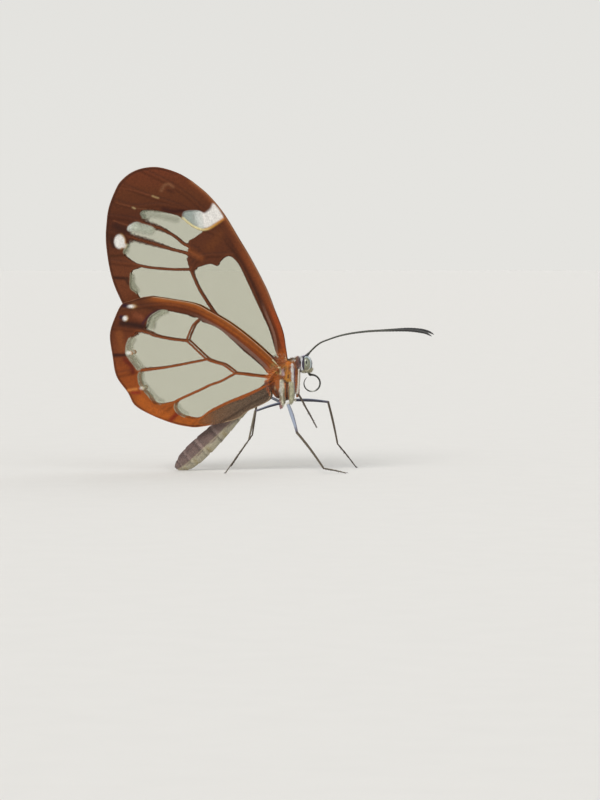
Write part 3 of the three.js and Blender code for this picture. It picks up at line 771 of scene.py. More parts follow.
def hindwing_ground(x, z, costa_gap, rim_gap):
    """Scale colours of a hindwing without its clear panes."""
    colours = ramp(z, (6, "#b45f20"), (9, "#a9561d"), (12.5, "#96491c"), (15, "#7d3f1e"), (18, "#6b3418"))
    mouth = ramp(
        costa_gap, (0.0, "#d2a988"), (0.1, "#a9622c"), (0.3, "#a85a1e"), (0.8, "#a35218"), (1.02, "#86401f"),
        (1.15, "#876152"), (1.42, "#846052"), (1.55, "#4a2a1c"),
    )
    outer = ramp(
        costa_gap, (0.0, "#d2a988"), (0.12, "#a9622c"), (0.35, "#a3551d"), (0.8, "#7c3d18"), (1.2, "#6b3418"),
        (1.5, "#4d2612"),
    )
    outermost = ramp(costa_gap, (0.0, "#7d4526"), (0.3, "#74401f"), (1.3, "#673418"))
    band = lay(outer, (mouth, smooth(-13.0, -8.5, x)))
    return lay(
        colours,
        ("#6f3d20", smooth(19.0, 20.3, z) * smooth(-15.5, -17.0, x)),
        (lay(outermost, (band, smooth(-18.2, -15.8, x))), 1 - smooth(1.55, 2.0, costa_gap)),
        ("#bd5f1e", (1 - smooth(0.6, 2.2, np.hypot(x + 2.2, z - 11.2))) * 0.9),
        ("#a38a50", (1 - smooth(0.25, 0.6, np.hypot(x + 1.9, z - 12.9))) * 0.7),
        ("#99664a", bell(rim_gap, 0, 0.05) * 0.8),
        ("#41200f", bell(rim_gap, 0.17, 0.08) * 0.75 * smooth(-9.0, -11.0, x)),
    )


def forewing_marks(xz, clear, veil, ground):
    """The white band with its hazy end and golden rim, and the share by which the tip's panes fade."""
    band, hazy = depth_in(xz, WHITE_BAND), depth_in(xz, HAZY_BAND)
    near = smooth(-0.9, -0.1, band)
    veil = np.maximum(veil, smooth(-0.1, 0.2, hazy) * np.maximum(0.66, near))
    rim, along = distance_to(xz, spline(BAND_RIM, 4))
    edge = 1 - smooth(0.06, 0.22, rim)
    ground = lay(
        ground,
        ("#bcc7c2", smooth(-0.1, 0.1, hazy)),
        ("#f6f3ee", smooth(-0.12, 0.16, band)),
        ("#dfe2dc", near * smooth(-0.05, 0.15, hazy) * 0.8),
        (ramp(along, (0, "#e6dcae"), (0.45, "#ecdfa8"), (0.7, "#e0a850"), (1, "#c47a30")), edge),
    )
    clear = np.where(hazy > -0.05, np.maximum(clear, hazy), clear)
    clear = np.minimum(clear, -band - 0.05)
    clear = np.where(edge > 0.3, np.minimum(clear, -0.1), clear)
    return clear, veil, ground, smooth(-14.0, -17.5, xz[:, 0]) * smooth(25.5, 29.0, xz[:, 1])


def hindwing_marks(xz, clear, veil, ground):
    """The cloudy fold along the body with its pale lip, and the share by which the hind panes fade."""
    lip, anal, hinge = (gap_to(xz, path) for path in (HINDWING_INNER, HINDWING_VEINS["anal_3"][0], ROOT_LIP))
    fold = smooth(-0.12, 0.12, depth_in(xz, ANAL_FOLD))
    cloudy = ramp(xz[:, 0], (-11.0, "#a4612f"), (-9.0, "#85634a"), (-6.0, "#7a6350"), (-2.5, "#6a5646"))
    ground = lay(
        ground,
        (cloudy, fold),
        ("#4a362a", bell(anal, 0, 0.16) * fold * 0.6),
        ("#b59a7c", (1 - smooth(0.04, 0.14, lip)) * 0.8),
        ("#d9cfa6", (1 - smooth(0.04, 0.14, hinge)) * 0.9),
    )
    clear = np.where(fold > 0.5, np.maximum(clear, (fold - 0.5) * 0.4), clear)
    clear = np.where(lip < 0.12, -0.1, clear)
    clear = np.minimum(clear, hinge - 0.2)
    return clear, np.maximum(veil, fold * 0.74), ground, 0.4 * smooth(-16.0, -18.5, xz[:, 0])


def wing_marks(kind, xz, veins, clear, within):
    """How far inside a clear pane each point lies, the share veiled by pale scales, and the scale colours
    with painted shade beside the veins.
    """
    wing = WINGS[kind]
    paint, mark = {
        "forewing": (forewing_ground, forewing_marks),
        "hindwing": (hindwing_ground, hindwing_marks),
    }[kind]
    costa, margin, inner = (spline(edge, 6) for edge in wing["edges"])
    costa_gap, _ = distance_to(xz, costa)
    rim_gap, _ = distance_to(xz, np.vstack([margin, inner[::-1][: len(inner) * 2 // 3]]))
    ground = lay(
        paint(xz[:, 0], xz[:, 1], costa_gap, rim_gap),
        # Painted shade: a dark rim beside the veins in the scaled borders
        ("#3f1d0d", bell(veins, 0.3, 0.15) * 0.35 * (1 - within)),
        (wing["vein_tone"], (1 - smooth(0.04, 0.2, veins)) * 0.8 * within),
    )
    ground = lay_strokes(ground, xz, wing["strokes"])
    veil = np.zeros(len(xz))
    for path, half, share, code in wing["veils"]:
        reach = 1 - smooth(half * 0.1, half * 1.3, gap_to(xz, path))
        ground = lay(ground, (code, smooth(0.0, 0.2, reach) * smooth(-0.12, 0.02, clear)))
        veil = np.maximum(veil, reach * share)
    for middle, radii, strength in wing["spots"]:
        spot = ellipse_depth(xz, middle, radii)
        warm = bell(spot, -0.03, 0.1) * smooth(-0.1, 0.25, xz[:, 0] - middle[0])
        ground = lay(
            ground, ("#f6f4ef", smooth(-0.12, 0.12, spot) * strength), ("#d9a860", warm * 0.45 * strength)
        )
        clear = np.minimum(clear, np.where(spot > -0.12, -0.1, clear))
    clear, veil, ground, fading = mark(xz, clear, veil, ground)
    return clear / (1 + 5 * fading), veil, ground


def wing_parts(kind):
    """The net of a right wing: its points, faces and the marks at each point, and its veins."""
    wing = WINGS[kind]
    net, share = wing_net(wing)
    xz = net.reshape(-1, 2)
    lines, gaps = [], {}
    for name, (path, wide, narrow) in wing["veins"].items():
        line = spline(path, 6)
        gap, along = distance_to(xz, line)
        gaps[name] = gap - (wide + (narrow - wide) * along)
        lines.append((line, wide, narrow))
    veins = np.min(list(gaps.values()), axis=0)
    parting = np.min([gaps[name] for name in wing["parting"]], axis=0)
    inland = smooth(*wing["border"], gap_to(xz, wing["edges"][1], 6))
    grow = PANE_GROWTH * (1 - smooth(0.1, 0.6, parting)) * inland
    panes = np.max([depth_in(xz, outline) for outline in wing["panes"].values()], axis=0) + grow
    marks = wing_marks(
        kind, xz, np.maximum(veins + VEIN_INSET, 0), np.minimum(panes, veins), smooth(-0.5, 0.0, panes)
    )
    pleat = 0.05 * wobble(xz, 4.0, 3.1) + 0.025 * wobble(xz, 1.6, 8.2)
    middle = -wing["layer"](share.reshape(-1)) + pleat
    raised = MEMBRANE_HALF + VEIN_RELIEF * bell(np.maximum(veins, 0), 0, 0.1)
    count = len(xz)
    grid = np.arange(count).reshape(wing["size"])
    a, b, c, d = (part.ravel() for part in (grid[:-1, :-1], grid[:-1, 1:], grid[1:, 1:], grid[1:, :-1]))
    ring = np.concatenate([grid[0, :-1], grid[:-1, -1], grid[-1, :0:-1], grid[:0:-1, 0]])
    after = np.roll(ring, -1)
    faces = [
        (a, d, c, b),
        (a + count, b + count, c + count, d + count),
        (ring, after, after + count, ring + count),
    ]
    sides = [np.column_stack([xz[:, 0], middle + side * raised, xz[:, 1]]) for side in (-1, 1)]
    return {
        "points": np.vstack(sides),
        "faces": np.hstack([np.stack(corners) for corners in faces]).T.tolist(),
        "marks": [np.concatenate([values, values]) for values in marks],
        "ground": marks[2],
        "lines": lines,
        "xz": xz,
        "middle": middle,
    }


def vein_tubes(parts):
    """Tapered tubes along the veins, sunk in the membrane, in the colour of the scales around them."""
    tubes, tones = [], []
    for line, wide, narrow in parts["lines"]:
        path = evenly(line, max(8, int(len(line) * 0.8)))
        near = [np.argmin(((parts["xz"] - p) ** 2).sum(axis=1)) for p in path]
        share = np.linspace(0, 1, len(path))
        radii = 0.5 * (wide + (narrow - wide) * share) * (1 - 0.35 * share)
        path = np.column_stack([path[:, 0], parts["middle"][near], path[:, 1]])
        tubes.append(tube(path, radii, VEIN_SIDES))
        tone = np.repeat(parts["ground"][near], VEIN_SIDES, axis=0)
        tones.append(np.vstack([tone, tone[:1], tone[-1:]]))
    return *gather(tubes), np.vstack(tones)


def build_wing(kind, material):
    """Both wings of a pair; the left one mirrors the right."""
    parts = wing_parts(kind)
    veins, vein_faces, tones = vein_tubes(parts)
    points, faces = gather([(parts["points"], parts["faces"]), (veins, vein_faces)])
    tube_marks = (np.full(len(veins), -1.0), np.zeros(len(veins)), tones)
    for side, sign in SIDES.items():
        turned = faces if sign < 0 else [tuple(reversed(f)) for f in faces]
        made = mesh_object(f"{kind}_{side}_scaled", to_frame(points * (1, -sign, 1)), turned, material)
        for name, values, others in zip(("clear", "veil", "ground"), parts["marks"], tube_marks):
            keep_values(made, name, np.concatenate([values, others]))
        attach(made, "root")
        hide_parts(f"{kind}_{side}")


# Body

COAT_STRIPES_AND_PAINTED_LIGHT = [
    # path in x and z, half width, colour, softness; some strokes are painted highlights and painted shade
    ([(-2.0, 12.2), (-1.9, 11.2), (-1.75, 10.0), (-1.45, 8.9)], 0.55, "#c2621a", 0.25),
    # Painted highlight: bright orange on the flank by the hindwing root
    ([(-1.95, 12.5), (-1.75, 12.0), (-1.6, 11.3)], 0.24, "#dd7a1c", 0.25),
    ([(-1.5, 11.3), (-1.4, 10.5)], 0.16, "#c87028", 0.2),
    ([(-1.95, 11.0), (-1.9, 10.3)], 0.14, "#8e451a", 0.2),
    # Painted shade: darker brown low on the flank
    ([(-1.6, 10.0), (-1.35, 9.3), (-1.25, 8.7)], 0.2, "#7a4018", 0.2),
    ([(-1.78, 10.6), (-1.7, 10.15)], 0.03, "#d2b888", 0.12),
    ([(-1.55, 12.25), (-1.4, 12.1)], 0.08, "#d9b05a", 0.08),
    ([(-0.25, 13.75), (0.1, 13.8), (0.35, 13.65)], 0.24, "#d2a878", 0.15),
    ([(0.85, 13.6), (0.95, 13.2)], 0.14, "#8a5238", 0.15),
    ([(0.95, 12.9), (1.15, 12.4)], 0.1, "#e8dccc", 0.08),
    ([(-0.1, 13.35), (0.3, 13.25)], 0.26, "#e6861e", 0.15),
    ([(-0.45, 12.9), (-0.3, 12.3), (-0.1, 12.0)], 0.3, "#d68c34", 0.2),
    ([(-0.75, 12.55), (-0.7, 12.0)], 0.14, "#cdb2b4", 0.12),
    ([(-0.45, 12.95), (-0.5, 12.75)], 0.07, "#5d3114", 0.06),
    ([(0.05, 12.75), (0.05, 12.5)], 0.06, "#8d5320", 0.06),
    ([(-0.18, 11.85), (-0.12, 11.2)], 0.32, "#dc9426", 0.12),
    ([(-0.32, 12.1), (-0.1, 12.5)], 0.1, "#dd8f2a", 0.16),
    # Painted highlight on the ochre bulge
    ([(-0.05, 11.45), (0.0, 11.15)], 0.12, "#e6a238", 0.12),
    ([(-0.12, 11.86), (-0.06, 11.64)], 0.09, "#7a4310", 0.08),
    ([(-0.5, 12.95), (-0.42, 12.8)], 0.06, "#7a4310", 0.1),
    ([(0.0, 13.0), (0.1, 12.8)], 0.05, "#8a4d14", 0.1),
    ([(-0.3, 11.05), (0.0, 10.95)], 0.12, "#7d4a18", 0.12),
    ([(0.62, 13.2), (0.72, 12.2), (0.84, 11.0), (0.84, 9.6)], 0.2, "#a8602a", 0.12),
    ([(0.32, 13.15), (0.36, 12.4), (0.42, 11.4), (0.5, 10.5), (0.52, 9.6),
      (0.47, 8.95)], 0.13, "#fbf9f4", 0.06),
    ([(0.6, 12.8), (0.64, 11.4), (0.66, 10.0), (0.68, 8.9)], 0.05, "#75596a", 0.06),
    ([(1.0, 12.9), (1.12, 12.3), (1.08, 11.0), (0.94, 9.6)], 0.07, "#e6e2d8", 0.06),
    ([(-0.9, 11.15), (-0.92, 10.5), (-0.95, 9.9), (-0.85, 9.2), (-0.7, 8.5),
      (-0.6, 7.8)], 0.26, "#e6e1c8", 0.1),
    # Painted highlight on the pale rear bulge
    ([(-0.98, 11.05), (-1.0, 10.4), (-1.08, 9.95), (-0.9, 9.5)], 0.12, "#f1eee2", 0.08),
    # Painted shade: olive shading low on the rear bulge
    ([(-0.62, 10.2), (-0.68, 9.2), (-0.6, 8.5)], 0.07, "#94886a", 0.12),
    # Painted shade: olive shading low on the rear bulge
    ([(-1.05, 9.4), (-0.95, 8.9)], 0.08, "#a89c7c", 0.1),
    ([(0.18, 10.9), (0.26, 10.2), (0.26, 9.3), (0.12, 8.5)], 0.24, "#ccc8a8", 0.1),
    # Painted shade on the hind side of the front bulge
    ([(0.0, 10.4), (0.02, 9.2)], 0.07, "#a39c7c", 0.1),
    # Painted shade in the gap between the rear and front bulges
    ([(-0.28, 10.9), (-0.3, 9.6), (-0.2, 8.3)], 0.11, "#4b2c17", 0.06),
    ([(-0.22, 10.4), (-0.18, 9.4), (-0.1, 8.6)], 0.03, "#a87c50", 0.04),
    ([(-0.95, 11.65), (-0.6, 11.3), (-0.4, 11.0)], 0.07, "#4f2a14", 0.06),
    ([(-1.15, 12.8), (-1.02, 12.5), (-1.08, 12.1)], 0.1, "#e2d6a8", 0.06),
    ([(-1.25, 8.8), (-1.1, 8.2), (-0.95, 7.8)], 0.16, "#c48f8c", 0.12),
    ([(0.52, 13.76), (0.68, 13.72)], 0.13, "#fffdf8", 0.06),
    ([(0.3, 14.0), (0.8, 13.9)], 0.1, "#8c7a50", 0.1),
]
HEAD_STRIPES = [
    ([(1.0, 13.9), (1.25, 13.4), (1.3, 12.9)], 0.16, "#8c6a66", 0.15),
    ([(1.3, 13.55), (1.35, 13.3)], 0.06, "#231a1c", 0.06),
    ([(1.48, 14.05), (1.53, 13.4), (1.53, 12.8), (1.62, 12.3)], 0.09, "#eef0f4", 0.05),
    ([(1.3, 13.95), (1.42, 13.9)], 0.09, "#f8f7f2", 0.06),
    ([(1.75, 14.12), (2.08, 14.15)], 0.1, "#dcd4f4", 0.06),
    ([(1.05, 14.12), (1.3, 14.15)], 0.1, "#b0a49a", 0.1),
    ([(1.6, 12.2), (2.0, 12.1), (2.4, 12.2), (2.7, 12.5)], 0.2, "#c9c2a4", 0.1),
]


def body_colours(points, coat):
    """Coat colour at millimetre points on the body, the same for the skin and the hairs, with painted
    highlights and painted shade on the thorax.
    """
    xz = points[:, [0, 2]]
    x, z = xz[:, 0], xz[:, 1]
    side = np.abs(points[:, 1])
    # Painted shade: the thorax is darker below z 9.6, on its underside
    chest = lay(plain(coat.thorax_colour, points), ("#8a4a1e", smooth(9.6, 8.4, z) * 0.6))
    chest = lay(
        lay_strokes(chest, xz, COAT_STRIPES_AND_PAINTED_LIGHT),
        ("#59371f", smooth(0.7, 0.2, side) * smooth(12.6, 13.4, z) * smooth(0.9, 0.4, x) * 0.7),
        ("#8d7a60", smooth(0.5, 0.2, side) * smooth(9.6, 8.8, z) * 0.7),
    )
    crown = lay_strokes(plain(coat.head_colour, points), xz, HEAD_STRIPES)
    spine = spline(ABDOMEN_PATH, 6)
    gap, along = distance_to(xz, spine)
    lift = gap * np.sign((xz - nearest_on(spine, along)) @ (-0.67, 0.74))
    ring = (along * ABDOMEN_SEGMENTS * RING_STRETCH) % 1
    back = lay(
        plain(coat.abdomen_colour, points),
        ("#8d756c", smooth(0.9, 0.2, lift) * 0.6),
        ("#a38c84", bell(ring, 0.93, 0.06) * 0.75),
        ("#4f3b36", bell(ring, 0.08, 0.08) * 0.7),
    )
    belly = lay(
        plain("#bdb49c", points),
        ("#a08a4a", bell(ring, 0.75, 0.1) * 0.5 * smooth(-0.3, -0.6, lift)),
        ("#5f5444", bell(ring, 0, 0.08) * 0.7),
    )
    low = smooth(-0.1, -0.42, lift + 0.12 * np.sin(ring * 2 * np.pi) + 0.15 * side)
    abdomen = lay(back, (belly, low), ("#d6cba8", bell(lift, -0.3, 0.08) * 0.5))
    return lay(
        chest,
        (crown, smooth(0.95, 1.12, x) * smooth(11.6, 11.9, z)),
        (abdomen, smooth(-2.1, -2.9, x - 0.25 * (z - 10.4))),
    )


def nearest_on(line, along):
    """The points of a line nearest to the given shares of its length."""
    return line[np.clip((along * (len(line) - 1)).round().astype(int), 0, len(line) - 1)]


def add_ellipsoid(work, middle, radii, pitch):
    """Adds an ellipsoid to a bmesh."""
    spot = Matrix.Translation(Vector(middle)) @ Matrix.Rotation(math.radians(-pitch), 4, "Y")
    bmesh.ops.create_uvsphere(
        work, u_segments=40, v_segments=24, radius=1, matrix=spot @ Matrix.Diagonal((*radii, 1))
    )


def abdomen_rings():
    """Path and radii of the abdomen; each segment widens to its hind rim and steps in under the next."""
    count = ABDOMEN_SEGMENTS * 8 + 1
    spine = evenly(spline(ABDOMEN_PATH, 8), count)
    share = np.linspace(0, 1, count)
    knots = spline(np.column_stack([ABDOMEN_PATH, ABDOMEN_RADII]), 8)
    reach = lengths_along(knots[:, :2])
    girth = np.column_stack([np.interp(share * reach[-1], reach, knots[:, k]) for k in (2, 3)])
    phase = (share * ABDOMEN_SEGMENTS * RING_STRETCH) % 1
    swell = 0.965 + 0.045 * phase - 0.03 * bell(phase, 0.02, 0.05)
    path = np.column_stack([spine[:, 0], np.zeros(count), spine[:, 1]])
    return path, girth * swell[:, None]


PALP_PATH = [(2.0, 0.2, 12.6), (2.35, 0.22, 12.36), (2.6, 0.24, 12.45), (2.78, 0.25, 12.7)]


def palp(sign):
    """One of the two short mouth feelers below the head."""
    path = [(x, sign * y, z) for x, y, z in PALP_PATH]
    return tube(spline(path, 4), np.interp(np.linspace(0, 1, 13), [0, 0.4, 0.8, 1], [0.18, 0.17, 0.12, 0.05]))


def build_skin(material, coat):
    """One closed skin for head, thorax and abdomen, remeshed in millimetres and then scaled down."""
    work = bmesh.new()
    for form in THORAX_FORMS:
        add_ellipsoid(work, *form)
    for (x, y, z), radii, pitch in COXA_FORMS:
        for sign in SIDES.values():
            add_ellipsoid(work, (x, sign * y, z), radii, pitch)
    add_ellipsoid(work, *HEAD_FORM)
    parts = [take_out(work), tube(*abdomen_rings(), sides=40), palp(-1), palp(1)]
    made = mesh_object("body_skin", *gather(parts), material)
    remesh = made.modifiers.new("one_skin", "REMESH")
    remesh.mode, remesh.voxel_size = "VOXEL", SKIN_STEP
    relax = made.modifiers.new("relax", "SMOOTH")
    relax.factor, relax.iterations = 0.5, 3
    old = made.data
    mesh = bpy.data.meshes.new_from_object(made.evaluated_get(bpy.context.evaluated_depsgraph_get()))
    made.modifiers.clear()
    made.data = mesh
    bpy.data.meshes.remove(old)
    at = read_flat(mesh.vertices, "co", 3)
    at[:, 2] = np.maximum(at[:, 2], FLOOR_GAP)
    keep_values(made, "coat", body_colours(at, coat))
    mesh.vertices.foreach_set("co", to_frame(at).ravel())
    mesh.polygons.foreach_set("use_smooth", [True] * len(mesh.polygons))
    mesh.update()
    mesh.materials.clear()
    mesh.materials.append(material)
    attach(made, "root")
    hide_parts("thorax", "head", "abdomen")


def surface_samples(made, count, rng, keep):
    """Random places on a mesh, evenly by area, with their normals, in millimetres; keep picks among them."""
    mesh = made.data
    mesh.calc_loop_triangles()
    corners = read_flat(mesh.loop_triangles, "vertices", 3, int)
    at = read_flat(mesh.vertices, "co", 3) / MM - (OFFSET_X, 0, 0)
    a, b, c = (at[corners[:, k]] for k in range(3))
    cross = np.cross(b - a, c - a)
    area = np.linalg.norm(cross, axis=1) / 2 * keep((a + b + c) / 3)
    pick = rng.choice(len(area), count, p=area / area.sum())
    u, v = rng.random(count), rng.random(count)
    flip = u + v > 1
    u[flip], v[flip] = 1 - u[flip], 1 - v[flip]
    spots = a[pick] + u[:, None] * (b - a)[pick] + v[:, None] * (c - a)[pick]
    return spots, unit(cross[pick])


def body_unwrap(points):
    """Where each body point lies on the skin's own unwrap: round the body and along it."""
    spine = spline([(2.7, 13.2), (1.0, 12.9), (-0.6, 11.6), *ABDOMEN_PATH[1:]], 5)
    _, along = distance_to(points[:, [0, 2]], spine)
    lift = (points[:, [0, 2]] - nearest_on(spine, along)) @ (0.6, 0.8)
    around = np.arctan2(points[:, 1], lift) / (2 * np.pi) + 0.5
    return np.column_stack([0.02 + 0.95 * around, 0.02 + 0.95 * along])


# A lock's three cross sections: share of its length, of its rise and of its width
LOCK_STATIONS = ((-0.06, 0.0, 0.55), (0.34, 0.55, 1.0), (0.72, 0.9, 0.7))
LOCK_POINTS = 10
# How deep a lock stands in the skin, and how far a leg spine stands out
LOCK_DEPTH = 0.03
SPINE_REACH = 0.2


def spread(rng, low, range_above, count):
    """Random numbers from low upwards, within the range above it."""
    return low + range_above * rng.random(count)


def hair_tufts(name, roots, normals, lies, lengths, widths, colours, lifts, material, rng):
    """Flat tapered locks, each closed, that bend from the skin to the lie of the coat."""
    lies = unit(lies - normals * (lies * normals).sum(axis=1)[:, None])
    across = np.cross(normals, lies)
    blocks = []
    for reach, rise, width in LOCK_STATIONS:
        height = lifts * lengths * rise * (0.6 + reach) + (0.0 if reach > 0 else -LOCK_DEPTH)
        middle = roots + lies * (reach * lengths)[:, None] + normals * height[:, None]
        half = across * (widths * width / 2)[:, None]
        blocks += [middle - half, middle + half, middle + normals * (widths * width * 0.22)[:, None]]
    blocks.append(roots + lies * lengths[:, None] + normals * (lifts * lengths * 1.35)[:, None])
    points = np.stack(blocks, axis=1).reshape(-1, 3)
    one = [(0, 2, 1)]
    for k in (0, 3):
        one += [(k, k + 1, k + 4, k + 3), (k + 1, k + 2, k + 5, k + 4), (k + 2, k, k + 3, k + 5)]
    one += [(6, 7, 9), (7, 8, 9), (8, 6, 9)]
    faces = [tuple(v + LOCK_POINTS * i for v in f) for i in range(len(roots)) for f in one]
    made = mesh_object(name, to_frame(points), faces, material, np.repeat(colours, LOCK_POINTS, axis=0))
    patch = made.data.uv_layers.new(name="OFBake")
    unwrap = body_unwrap(roots)[:, None] + rng.random((LOCK_POINTS, 2)) * 0.003
    loops = read_flat(made.data.loops, "vertex_index", 1, int).ravel()
    patch.data.foreach_set("uv", unwrap.reshape(-1, 2)[loops].astype(np.float32).ravel())
    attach(made, "root")
    return made


def wing_root_spots(count, rng):
    """Places on the wings' outer faces near their roots, with normals and the way out along the wing."""
    spots, outs = [], []
    for wing in WINGS.values():
        net, share = wing_net(wing)
        for sign in SIDES.values():
            row = (rng.random(count) ** 1.5 * 0.036 * wing["size"][0]).astype(int)
            column = rng.integers(0, wing["size"][1], count)
            at = net[row, column]
            level = wing["layer"](share[row, column]) + 0.05
            spots.append(np.column_stack([at[:, 0], sign * level, at[:, 1]]))
            outs.append(np.column_stack([at[:, 0] - 0.3, np.zeros(count), at[:, 1] - 12.4]))
    spots, outs = np.vstack(spots), np.vstack(outs)
    normals = np.sign(spots[:, 1])[:, None] * (0, 1, 0)
    return spots, normals, unit(outs)


def on_thorax(points):
    """Which points lie on the thorax."""
    return (points[:, 0] < 1.1) & (points[:, 0] > -2.7)


def on_head(points):
    """Which points lie on the head and clear of the eyes."""
    x, y, z = points.T
    away = ((x - EYE_X) / 0.66) ** 2 + ((z - EYE_Z) / 1.0) ** 2
    return (x >= 1.0) & (z > 11.7) & ((away > 1.0) | (np.abs(y) < 0.42))


def on_abdomen(points):
    """Which points lie on the abdomen."""
    return points[:, 0] <= -2.5


def build_coat(skin, material, coat):
    """Hair tufts over thorax and head, and flat scales over the abdomen."""
    rng = np.random.default_rng(SEED)
    spots, normals = surface_samples(skin, coat.thorax_tufts, rng, on_thorax)
    count = len(spots)
    down = np.column_stack([np.full(count, -0.35), 0.15 * np.sign(spots[:, 1]), np.full(count, -1.0)])
    down += rng.normal(0, 0.3, (count, 3))
    shaggy = smooth(0.9, 1.8, np.abs(wobble(spots, 0.9, 2.0)) + smooth(11.0, 13.0, spots[:, 2]))
    hair = coat.hair_length / MM
    lengths = spread(rng, hair, hair, count) * (0.75 + 0.9 * shaggy)
    root_spots, root_normals, out = wing_root_spots(coat.wing_root_tufts, rng)
    spots, normals = np.vstack([spots, root_spots]), np.vstack([normals, root_normals])
    down = np.vstack([down, out + rng.normal(0, 0.12, out.shape)])
    lengths = np.append(lengths, spread(rng, 0.2, 0.2, len(out)))
    count = len(spots)
    beneath = np.column_stack([np.maximum(spots[:, 0], -1.9), spots[:, 1:]])
    colours = body_colours(beneath, coat) * spread(rng, 0.75, 0.5, count)[:, None]
    made = hair_tufts(
        "thorax_coat", spots, normals, down, lengths, spread(rng, 0.035, 0.035, count), colours,
        spread(rng, 0.06, 0.24, count), material, rng,
    )

    rng = np.random.default_rng(SEED + 1)
    spots, normals = surface_samples(skin, coat.head_tufts, rng, on_head)
    count = len(spots)
    rise = (spots[:, 2] - 13.1) * 0.6 - 0.1
    lie = np.column_stack([np.full(count, -0.5), 0.1 * np.sign(spots[:, 1]), rise])
    lie += rng.normal(0, 0.3, (count, 3))
    colours = body_colours(spots, coat) * spread(rng, 0.75, 0.5, count)[:, None]
    made = hair_tufts(
        "head_coat", spots, normals, lie, spread(rng, 0.13, 0.16, count), spread(rng, 0.025, 0.025, count),
        colours, spread(rng, 0.15, 0.4, count), material, rng,
    )

    rng = np.random.default_rng(SEED + 2)
    spots, normals = surface_samples(skin, coat.abdomen_scales, rng, on_abdomen)
    above = spots[:, 2] > 0.3
    spots, normals = spots[above], normals[above]
    count = len(spots)
    tailward = (-0.74, 0.0, -0.67) + rng.normal(0, 0.12, (count, 3))
    colours = body_colours(spots, coat) * spread(rng, 0.82, 0.36, count)[:, None]
    made = hair_tufts(
        "abdomen_scale_coat", spots, normals, tailward, spread(rng, 0.2, 0.12, count),
        spread(rng, 0.08, 0.04, count), colours, spread(rng, 0.03, 0.09, count), material, rng,
    )


def build_eyes(material):
    """Domed compound eyes with a pale rim, a dark hind band and a dark false pupil."""
    for side, sign in SIDES.items():
        work = bmesh.new()
        bmesh.ops.create_uvsphere(work, u_segments=64, v_segments=40, radius=1)
        points, faces = take_out(work)
        at = points[:, [0, 2, 1]] * (1, -1, 1)
        x, z = at[:, 0], at[:, 2]
        reach = np.hypot(x, z)
        pupil = np.hypot((x - 0.06) / 0.12, (z - 0.2) / 0.2)
        colours = lay(
            plain("#90917a", at),
            ("#6b6a52", smooth(-0.1, 0.3, wobble(at, 0.35, 5.0)) * 0.6),
            ("#bccbd2", smooth(0.72, 0.92, reach) * smooth(-0.2, 0.3, x + 0.6 * z)),
            ("#cfc7a4", smooth(0.74, 0.92, reach) * smooth(-0.35, -0.75, z)),
            ("#8c7a5a", smooth(0.35, 0.1, np.hypot(x - 0.1, z + 0.45)) * 0.6),
            ("#6f7a68", bell(pupil, 2.9, 0.5) * 0.55),
            ("#c3cbb8", bell(pupil, 1.9, 0.4) * 0.5),
            ("#0e0d0b", smooth(1.4, 0.8, pupil)),
            ("#262040", smooth(-0.3, -0.46, x)),
        )
        shape = to_frame(at * EYE_RADII + (EYE_X, sign * EYE_Y, EYE_Z))
        made = mesh_object(f"eye_{side}_dome", shape, faces, material, colours)
        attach(made, "root")
        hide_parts(f"eye_{side}")


def build_feelers(material):
    """Ringed feelers that swell into a slender club, on a short thick base."""
    for side, sign in SIDES.items():
        base, tip = FEELER_GAPS
        knots = [
            (x, sign * (base + (tip - base) * (i / (len(FEELER_PATH) - 1)) ** 1.15), z)
            for i, (x, z) in enumerate(FEELER_PATH)
        ]
        path = evenly(spline(knots, 12), 330)
        share = np.linspace(0, 1, len(path))
        stations = [0, 0.015, 0.03, 0.05, 0.6, 0.78, 0.9, 0.97, 1]
        radii = np.interp(share, stations, [0.17, 0.19, 0.15, 0.1, 0.085, 0.16, 0.18, 0.12, 0.03])
        radii = radii * (0.93 + 0.1 * np.sin((share * FEELER_RINGS) % 1 * np.pi))
        points, faces = tube(path, radii, ROUND)
        along = ring_values(share, ROUND)
        colours = lay(
            plain("#35352a", points),
            ("#14120f", smooth(0.55, 0.8, along)),
            ("#6d6f5e", bell((along * FEELER_RINGS) % 1, 0.05, 0.1) * 0.6 * smooth(0.8, 0.6, along)),
            ("#1d1b28", smooth(0.05, 0.02, along)),
        )
        made = mesh_object(f"feeler_{side}", to_frame(points), faces, material, colours)
        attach(made, "root")
        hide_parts(f"antenna_{side}")


def build_tongue(material):
    """A loosely coiled tongue: one tapering tube with fine rings and a painted highlight along one stretch.
    """
    turn = np.radians(np.linspace(104, -232, 170))
    share = np.linspace(0, 1, len(turn))
    reach = COIL_RADIUS * (1 - 0.12 * share)
    x, z = COIL_MIDDLE
    path = np.column_stack([x + reach * np.cos(turn), 0.06 * np.sin(share * 5), z + reach * np.sin(turn)])
    path[0] = (2.25, 0.0, 12.25)
    radii = np.interp(share, [0, 0.1, 0.8, 1], [0.16, 0.12, 0.08, 0.035])
    radii = radii * (0.96 + 0.06 * np.sin(share * 300))
    points, faces = tube(path, radii, ROUND)
    # The pale band is a painted highlight
    colours = lay(plain("#26241b", points), ("#b4b6b0", bell(ring_values(share, ROUND), 0.55, 0.05) * 0.95))
    made = mesh_object("tongue_coil", to_frame(points), faces, material, colours)
    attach(made, "root")
    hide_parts("proboscis_1", "proboscis_2", "proboscis_3")


def leg_nodes(name):
    """The frame's nodes of one leg."""
    kind, side = name.split("_")
    parts = ("femur", "tibia") if kind == "foreleg" else ("femur", "tibia", "tarsus")
    return [f"{kind}_{part}_{side}" for part in parts]


